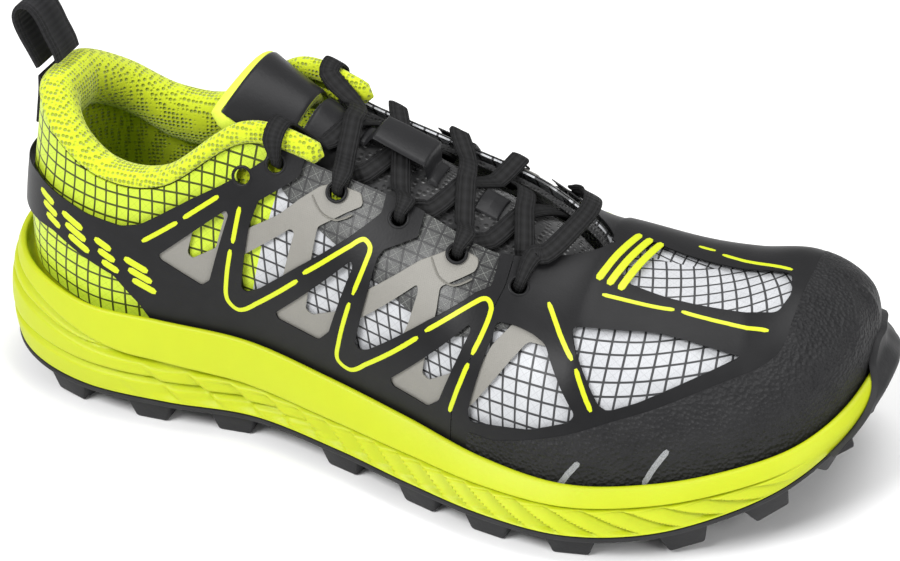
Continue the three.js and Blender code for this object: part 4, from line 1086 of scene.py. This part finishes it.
def tongue_pad(name, stations, widths, low, high, material, cells=(40, 40), power=4.0):
    """A soft pad on the tongue with rounded borders; low and high give its faces."""
    def place(s, t):
        a = lerp(*stations, s)
        across = t * 2 if t <= 0.5 else 2 - 2 * t
        w = lerp(*widths, across)
        border = 1 - max(abs(2 * s - 1), abs(2 * across - 1)) ** (power * 6)
        bottom, top = low(a, w), high(a, w)
        middle = (bottom + top) / 2
        face = top if t <= 0.5 else bottom
        return tongue_point(a, w, lerp(middle, face, border))

    bm = mapped_grid(cells[0], cells[1] * 2, place, lambda s, t: (s, t * 2))
    seal(bm, 1e-5)
    return new_piece(name, bm, material, 60)


def level(height):
    return lambda s, w: height


def make_tongue():
    base = tongue_pad(
        "tongue_mesh", (0, FLAP_START - 0.1), (-0.86, 0.86), level(-2.4), level(0.0), MESH_BLACK,
    )
    settle(base, "shoe", "tongue_mesh", "tongue_base")

    def belly(s, w):
        return -7 * (1 - 0.45 * abs(w) ** 3 - 0.35 * smoothstep(s, 6.6, 7))

    pad = tongue_pad(
        "tongue_padding", (FLAP_START, 6.95), (-0.94, 0.94), belly, level(0.0), MESH_LIME, power=2,
    )
    settle(pad, "tongue_flap", "lime_mesh", "tongue_pad")
    shield = tongue_pad(
        "tongue_shield_film", (FLAP_START + 0.02, 6.93), (-0.93, 0.86), level(0.15), level(1.15), SHIELD_FILM
    )
    settle(shield, "tongue_flap", "shield", "tongue_shield")
    throat_film = tongue_pad(
        "tongue_throat_film", (4.95, FLAP_START - 0.12), (-0.8, 0.8), level(-0.2), level(0.7), SHIELD_FILM
    )
    settle(throat_film, "shoe", "shield")
    patch = tongue_pad(
        "tongue_patch_film", (1.98, 2.42), (-0.25, 0.25), level(0.1),
        lambda s, w: 0.8 + 0.5 * (1 - abs(w) / 0.25) * (1 - abs(s - 2.2) / 0.22), SHIELD_FILM,
    )
    settle(patch, "shoe", "keeper", "tongue_patch")

    def bridge(s):
        return 0.3 + 5.6 * (1 - smoothstep(abs(s - 3.95), 0.5, 0.68))

    keeper = tongue_pad(
        "lace_bridge", (3.12, 4.76), (-0.24, 0.24), lambda s, w: bridge(s), lambda s, w: bridge(s) + 1.3,
        SHIELD_FILM, cells=(80, 16),
    )
    settle(keeper, "shoe", "keeper", "lace_keeper")
    edge = [tongue_point(lerp(BINDING_START, 6.85, k / 8), -0.97, -2.6) for k in range(9)]
    edge += [tongue_point(6.97, lerp(-0.93, 0.93, k / 16), -2.4) for k in range(17)]
    edge += [tongue_point(lerp(6.85, BINDING_START, k / 8), 0.97, -2.6) for k in range(9)]
    centre = Vector((110, 0, 85))
    wides = [p - centre for p in edge]
    sizes = [(1.5, 3.0)] * len(edge)
    binding = sweep("tongue_edge_tape", edge, wides, sizes, BINDING_TAPE, sides=16, roundness=2)
    settle(binding, "tongue_flap", "binding", "tongue_binding")


# ---- Bands and cords ---------------------------------------------------------------------------
def sweep(name, points, wides, sizes, material, sides=20, roundness=4.0, smooth=40):
    """A tape along a path: a rounded section set by its width direction and two half sizes."""
    count = len(points) - 1

    def place(s, t):
        u = s * count
        i = min(int(u), count - 1)
        w = u - i
        point = points[i].lerp(points[i + 1], w)
        ahead = points[min(i + 2, count)] - points[i]
        behind = points[min(i + 1, count)] - points[max(i - 1, 0)]
        along = behind.lerp(ahead, w).normalized()
        wide = wides[i].lerp(wides[i + 1], w)
        wide = (wide - along * wide.dot(along)).normalized()
        thick = along.cross(wide)
        a = 2 * math.pi * t
        c, d = math.cos(a), math.sin(a)
        half_w, half_t = (lerp(p, q, w) for p, q in zip(sizes[i], sizes[i + 1]))
        x = math.copysign(abs(c) ** (2 / roundness), c) * half_w
        y = math.copysign(abs(d) ** (2 / roundness), d) * half_t
        return point + wide * x + thick * y

    length = sum((b - a).length for a, b in zip(points, points[1:]))
    bm = mapped_grid(count, sides, place, lambda s, t: (s * length / 10, t))
    seal(bm, 1e-6)
    return new_piece(name, bm, material, smooth)


LACE_FLAT, LACE_BUNCHED = (3.1, 0.6), (1.7, 1.0)
OUTSIDE, INSIDE, LOW_PASS, HIGH_PASS = 3.3, -5.2, 1.9, 3.8
THROAT_SLOPE = Vector((0.93, 0, -0.36))
EYELET_ON_TONGUE = [5.6, 4.62, 3.32, 2.2, 1.15]
OVER_ROLL = [(4.9, 7), (0.8, 9), (-4, 5)]
TAIL = [
    (101, -19.5, 82), (103.5, -18.5, 76), (112, -16, 72.5), (130, -12, 71.5), (150, -10, 68), (178, -8, 60),
    (205, -6, 52), (222, -5, 48),
]
BAR = [(184, -17.5, 74.5), (189, -8, 78.2), (191, 2, 79.5), (189.5, 12, 78.4), (185, 20, 75)]


def over_roll(u, side):
    edge = through(topline[side], u)
    out = outward(feather, side, u)
    places = [edge - out * inward + Vector((0, 0, rise)) for inward, rise in OVER_ROLL]
    return [(place, LACE_FLAT, THROAT_SLOPE) for place in places]


def stitch(n, side):
    """The lace's way through eyelet n, from its outer side to its inner side."""
    u, v = EYELETS[n - 1]
    point, normal, up = place_on(side, u, v)
    rim, rim_normal, rim_up = place_on(side, u, 0.99)
    over = [(rim + rim_normal * OUTSIDE + rim_up * 1.2, LACE_FLAT, THROAT_SLOPE)]
    return [
        *(over_roll(u, side) if n == 1 else over),
        (point + normal * (OUTSIDE - 0.3) + up * 1.5, LACE_BUNCHED, THROAT_SLOPE),
        (point - normal * 0.8, LACE_BUNCHED, THROAT_SLOPE),
        (point + normal * (INSIDE - 0.5) + up * 1.5, LACE_BUNCHED, THROAT_SLOPE),
        (rim + rim_normal * INSIDE, LACE_FLAT, THROAT_SLOPE),
    ]


def lace_pass(start, end, side, lift):
    sign = -1 if side == LATERAL else 1
    stops = []
    for w in (0.55, 0, -0.55):
        s = lerp(EYELET_ON_TONGUE[start - 1], EYELET_ON_TONGUE[end - 1], (1 - w) / 2)
        stops.append((tongue_point(s, sign * w, lift), LACE_FLAT, THROAT_SLOPE))
    return stops


def lace_tail(side):
    mirror = 1 if side == LATERAL else -1
    stops = []
    for i, (x, y, z) in enumerate(TAIL):
        turn = smoothstep(i, -1, 2) * math.pi / 2
        wide = Vector((math.cos(turn), mirror * math.sin(turn), 0))
        stops.append((Vector((x, mirror * y + (2 if mirror < 0 else 0), z)), LACE_FLAT, wide))
    return stops


def lace_stops():
    def come_up(n, side):
        return stitch(n, side)[::-1]

    return [
        *lace_tail(LATERAL)[::-1], *come_up(1, LATERAL)[1:], *lace_pass(1, 2, LATERAL, LOW_PASS),
        *come_up(2, MEDIAL), *lace_pass(2, 3, MEDIAL, HIGH_PASS), *stitch(3, LATERAL),
        *lace_pass(3, 4, LATERAL, LOW_PASS), *stitch(4, MEDIAL), *lace_pass(4, 5, MEDIAL, HIGH_PASS),
        *come_up(5, LATERAL), *[(Vector(p), LACE_FLAT, THROAT_SLOPE) for p in BAR], *stitch(5, MEDIAL),
        *lace_pass(5, 4, MEDIAL, LOW_PASS), *come_up(4, LATERAL), *lace_pass(4, 3, LATERAL, HIGH_PASS),
        *stitch(3, MEDIAL), *lace_pass(3, 2, MEDIAL, LOW_PASS), *come_up(2, LATERAL),
        *lace_pass(2, 1, LATERAL, HIGH_PASS), *stitch(1, MEDIAL)[:-1], *lace_tail(MEDIAL),
    ]


def eased_path(points, per_span):
    """A curve through points: each span is part of the cubic through its four nearest points."""
    points = [2 * points[0] - points[1], *points, 2 * points[-1] - points[-2]]
    knots = [0.0]
    for a, b in zip(points, points[1:]):
        knots.append(knots[-1] + max((b - a).length, 1e-4) ** 0.5)
    samples = []
    for i in range(1, len(points) - 2):
        for k in range(per_span):
            t = lerp(knots[i], knots[i + 1], k / per_span)
            line = points[i - 1 : i + 3]
            at = knots[i - 1 : i + 3]
            for level in (1, 2, 3):
                line = [
                    (line[j] * (at[j + level] - t) + line[j + 1] * (t - at[j])) / (at[j + level] - at[j])
                    for j in range(4 - level)
                ]
            samples.append(line[0])
    samples.append(points[-2].copy())
    return samples


def make_lace():
    stops = lace_stops()
    per_span = 5
    points = eased_path([s[0] for s in stops], per_span)
    sizes, wides = [], []
    for a, b in zip(stops, stops[1:]):
        for k in range(per_span):
            w = k / per_span
            sizes.append((lerp(a[1][0], b[1][0], w), lerp(a[1][1], b[1][1], w)))
            wides.append(a[2].lerp(b[2], w))
    sizes.append(stops[-1][1])
    wides.append(stops[-1][2].copy())
    lace = sweep("flat_lace", points, wides, sizes, LACE_BRAID, sides=28, roundness=3.2, smooth=60)
    settle(lace, "shoe", "lace_braid", "lace")


def make_aglets():
    for side, mirror in ((LATERAL, 1), (MEDIAL, -1)):
        x, y, z = TAIL[-1]
        end = Vector((x, mirror * y + (2 if mirror < 0 else 0), z))
        ahead = Vector((0.97, mirror * 0.04, -0.22)).normalized()
        path = [end + ahead * (1.2 + 22 * k / 12) for k in range(13)]
        size = [(1.6 - 0.5 * (k in (0, 12)), 1.6 - 0.5 * (k in (0, 12))) for k in range(13)]
        label = "lateral" if side == LATERAL else "medial"
        wide = Vector((0, 1, 0))
        tip = sweep(
            "lace_tip_" + label, path, [wide] * 13, size, AGLET_PLASTIC, sides=24, roundness=2, smooth=50
        )
        settle(tip, "shoe", "aglet", "aglet_" + label)


# ---- Heel loop -----------------------------------------------------------------------------------
WEBBING_HALF, WEBBING_THICK = 7, 1.6
SEWN_LEG = [(12.2, 82), (13.2, 88), (14.2, 94), (14.6, 98.5)]
LOOP = [
    (14.2, 101.4), (11.4, 107), (8.6, 112.6), (7.4, 117.5), (9, 121), (12.6, 121.4), (15.6, 118), (18, 112.5),
    (20.3, 107.6), (21.2, 104.2),
]


def make_loop():
    across = Vector((0, 1, 0))
    for name, line, body, node in (
        ("heel_tape_sewn", SEWN_LEG, "shoe", "loop_anchor"),
        ("heel_tape_loop", LOOP, "pull_loop", "pull_loop"),
    ):
        points = eased_path([Vector((x, 0, z)) for x, z in line], 8)
        n = len(points)
        size = [(WEBBING_HALF, WEBBING_THICK / 2)] * n
        tape = sweep(name, points, [across] * n, size, WEBBING, sides=48, roundness=7, smooth=50)
        settle(tape, body, "webbing", node)


# ---- Printed lines and marks ---------------------------------------------------------------------
DASHES = [
    [(61, 63.8), (72.5, 71.7)], [(74.5, 73.3), (86, 81.9)], [(93, 80), (91.3, 68.8)],
    [(90.6, 66.6), (88.6, 54.3), (88.8, 48.8), (92.2, 46.1), (98.4, 49.7), (113.4, 61.7)],
    [(115.1, 64.2), (129.1, 73.9), (132.5, 75.7), (134.8, 73.9), (134.6, 71.3), (131.8, 61.3)],
    [(131, 58.8), (127.4, 44.1), (127, 38.7), (131.2, 36.5), (136.6, 40.2), (154.2, 54)],
    [(156.2, 56.1), (168.1, 64), (171.3, 65.1), (173.5, 62.9), (171.3, 52.6)], [(170.7, 50.4), (166.3, 34.9)],
    [(188.7, 63.4), (200.7, 54.4)], [(201.8, 52.8), (208.3, 43.2)],
]
TOP_DASHES = [
    [(202.4, -19.7), (223.1, -14.3)], [(225.2, -14.2), (251.6, -13.9)],
    [(221, 18.2), (226.4, 17.8)], [(229.1, 16.2), (251.7, 11.2)],
]
TOE_SLITS = [[(201, 19.7), (203.6, 24.5), (206.6, 28.9)], [(224.3, 21.9), (227, 27.6), (230.4, 33)]]
HEEL_BLOCKS = [(24, 30), (33, 41), (45, 51), (55, 63)]
PROBE_Y, PROBE_Z = 120, 140


def skin_tree():
    """Finds where a line meets the upper, in the frame's metres."""
    bm = SKIN.copy()
    tree = BVHTree.FromBMesh(bm)
    bm.free()
    return tree


def shoe_place(point):
    return point / MM + ORIGIN


def side_hit(x, z, side):
    way = Vector((0, 1 if side == LATERAL else -1, 0))
    place, normal, _, _ = SKIN_TREE.ray_cast(metres((x, -PROBE_Y * way.y, z)), way)
    return place and (shoe_place(place), normal if normal.dot(way) < 0 else -normal)


def top_hit(x, y):
    place, normal, _, _ = SKIN_TREE.ray_cast(metres((x, y, PROBE_Z)), Vector((0, 0, -1)))
    return place and (shoe_place(place), normal if normal.z > 0 else -normal)


def ribbon(hits, half, lift, thick):
    """A thin raised line over the surface through its hits, narrower at both ends."""
    last = len(hits) - 1
    section = [(-1, 0), (-0.86, 1), (0.86, 1), (1, 0), (-1, 0)]

    def place(s, t):
        i = round(s * last)
        point, normal = hits[i]
        along = (hits[min(i + 1, last)][0] - hits[max(i - 1, 0)][0]).normalized()
        wide = along.cross(normal).normalized()
        reach, height = section[round(t * 4)]
        ends = 0.55 if i in (0, last) else 1.0
        return point + wide * (reach * half * ends) + normal * (lift + height * thick)

    bm = mapped_grid(last, 4, place, lambda s, t: (s * last * 0.2, t))
    seal(bm, 1e-7)
    return bm


def dense(line, step=1.0):
    """A soft curve through a line's corners, as closely spaced points."""
    points = [Vector((*p, 0)) for p in line]
    if len(points) > 2:
        points = eased_path(points, 6)
    out = [points[0]]
    for a, b in zip(points, points[1:]):
        parts = max(1, int((b - a).length / step))
        out += [a.lerp(b, (k + 1) / parts) for k in range(parts)]
    return out


def printed(name, lines, half, lift, thick, material, slot):
    """One piece of raised print from lines given as (side or "top", points)."""
    bm = bmesh.new()
    bm.loops.layers.uv.new("chart")
    for kind, line in lines:
        found = [top_hit(p.x, p.y) if kind == "top" else side_hit(p.x, p.y, kind) for p in dense(line)]
        hits = [hit for hit in found if hit]
        if len(hits) > 1:
            pour(bm, ribbon(hits, half, lift, thick))
    return settle(new_piece(name, bm, material), "shoe", slot)


def make_prints():
    lines = [(side, line) for side in (LATERAL, MEDIAL) for line in DASHES]
    lines += [("top", line) for line in TOP_DASHES]
    printed("dash_print", lines, 0.75, 1.97, 0.12, LIME_PRINT, "lime_mesh")
    slits = [(side, line) for side in (LATERAL, MEDIAL) for line in TOE_SLITS]
    printed("rand_slits", slits, 1.0, 2.02, 0.12, RIPSTOP_WHITE, "white_ripstop")
    marks = []
    for side in (LATERAL, MEDIAL):
        for start, end in HEEL_BLOCKS:
            for row in (0, 1, 2):
                z = lerp(70.4, 57.6, (start - 24) / 30) - 3.4 * row
                near, far = start + 1.2 * row, end - 0.5 + 1.2 * row
                marks.append((side, [(near, z), (far, z - 0.42 * (end - start))]))
    for k in range(3):
        marks.append(("top", [(199.5 + 3.4 * k, -15.5), (201.5 + 3.4 * k, -1), (204 + 3.4 * k, 12.5)]))
    printed("block_marks", marks, 1.15, 1.97, 0.14, LIME_PRINT, "lime_mesh")


STITCH_ARC = [(-7, -1), (-3.5, -5), (1.5, -6.6), (6, -5)]


def make_strap_stitches():
    arcs = []
    for u, v in (EYELETS[1], EYELETS[3]):
        point, _, _ = place_on(LATERAL, u, v)
        arcs.append([(point.x + x, point.z + z) for x, z in STITCH_ARC])
    lines = [(side, arc) for side in (LATERAL, MEDIAL) for arc in arcs]
    printed("strap_stitches", lines, 0.35, 1.28, 0.15, STITCHING, "grey_strap")


RIM_LIFT, RIM_RADIUS, RIM_WIDE, RIM_HIGH = 1.9, 2.9, 0.5, 0.35


def make_eyelet_rings():
    """Turned edges of the lace holes."""
    bm = bmesh.new()
    bm.loops.layers.uv.new("chart")
    for side in (LATERAL, MEDIAL):
        for u, v in [*EYELETS, SPARE_EYELET]:
            point, normal, up = place_on(side, u, v)
            right = normal.cross(up).normalized()
            over = up.cross(normal).cross(normal).normalized()

            def place(s, t):
                a, b = 2 * math.pi * s, 2 * math.pi * t
                away = right * math.cos(a) + over * math.sin(a)
                centre = point + normal * RIM_LIFT + away * RIM_RADIUS
                return centre + away * (RIM_WIDE * math.cos(b)) + normal * (RIM_HIGH * math.sin(b))

            rim = mapped_grid(24, 6, place)
            tidy(rim, 1e-7)
            bmesh.ops.recalc_face_normals(rim, faces=rim.faces)
            pour(bm, rim)
    settle(new_piece("eyelet_edges", bm, FILM_BLACK, 60), "shoe", "black_film")


def finish_hidden_parts():
    for node, material in (
        ("lasting_board", BOARD_FIBRE), ("heel_counter", STIFFENER_SHEET), ("toe_puff", STIFFENER_SHEET),
    ):
        part = frame["nodes"][node]
        part.data.materials.clear()
        part.data.materials.append(material)


SKIN = make_skin()
SKIN_TREE = skin_tree()
add_camera()
make_lace()
make_aglets()
make_upper()
make_collar()
make_midsole()
make_outsole()
make_insole()
make_tongue()
make_loop()
make_prints()
make_strap_stitches()
make_eyelet_rings()
finish_hidden_parts()
add_studio()
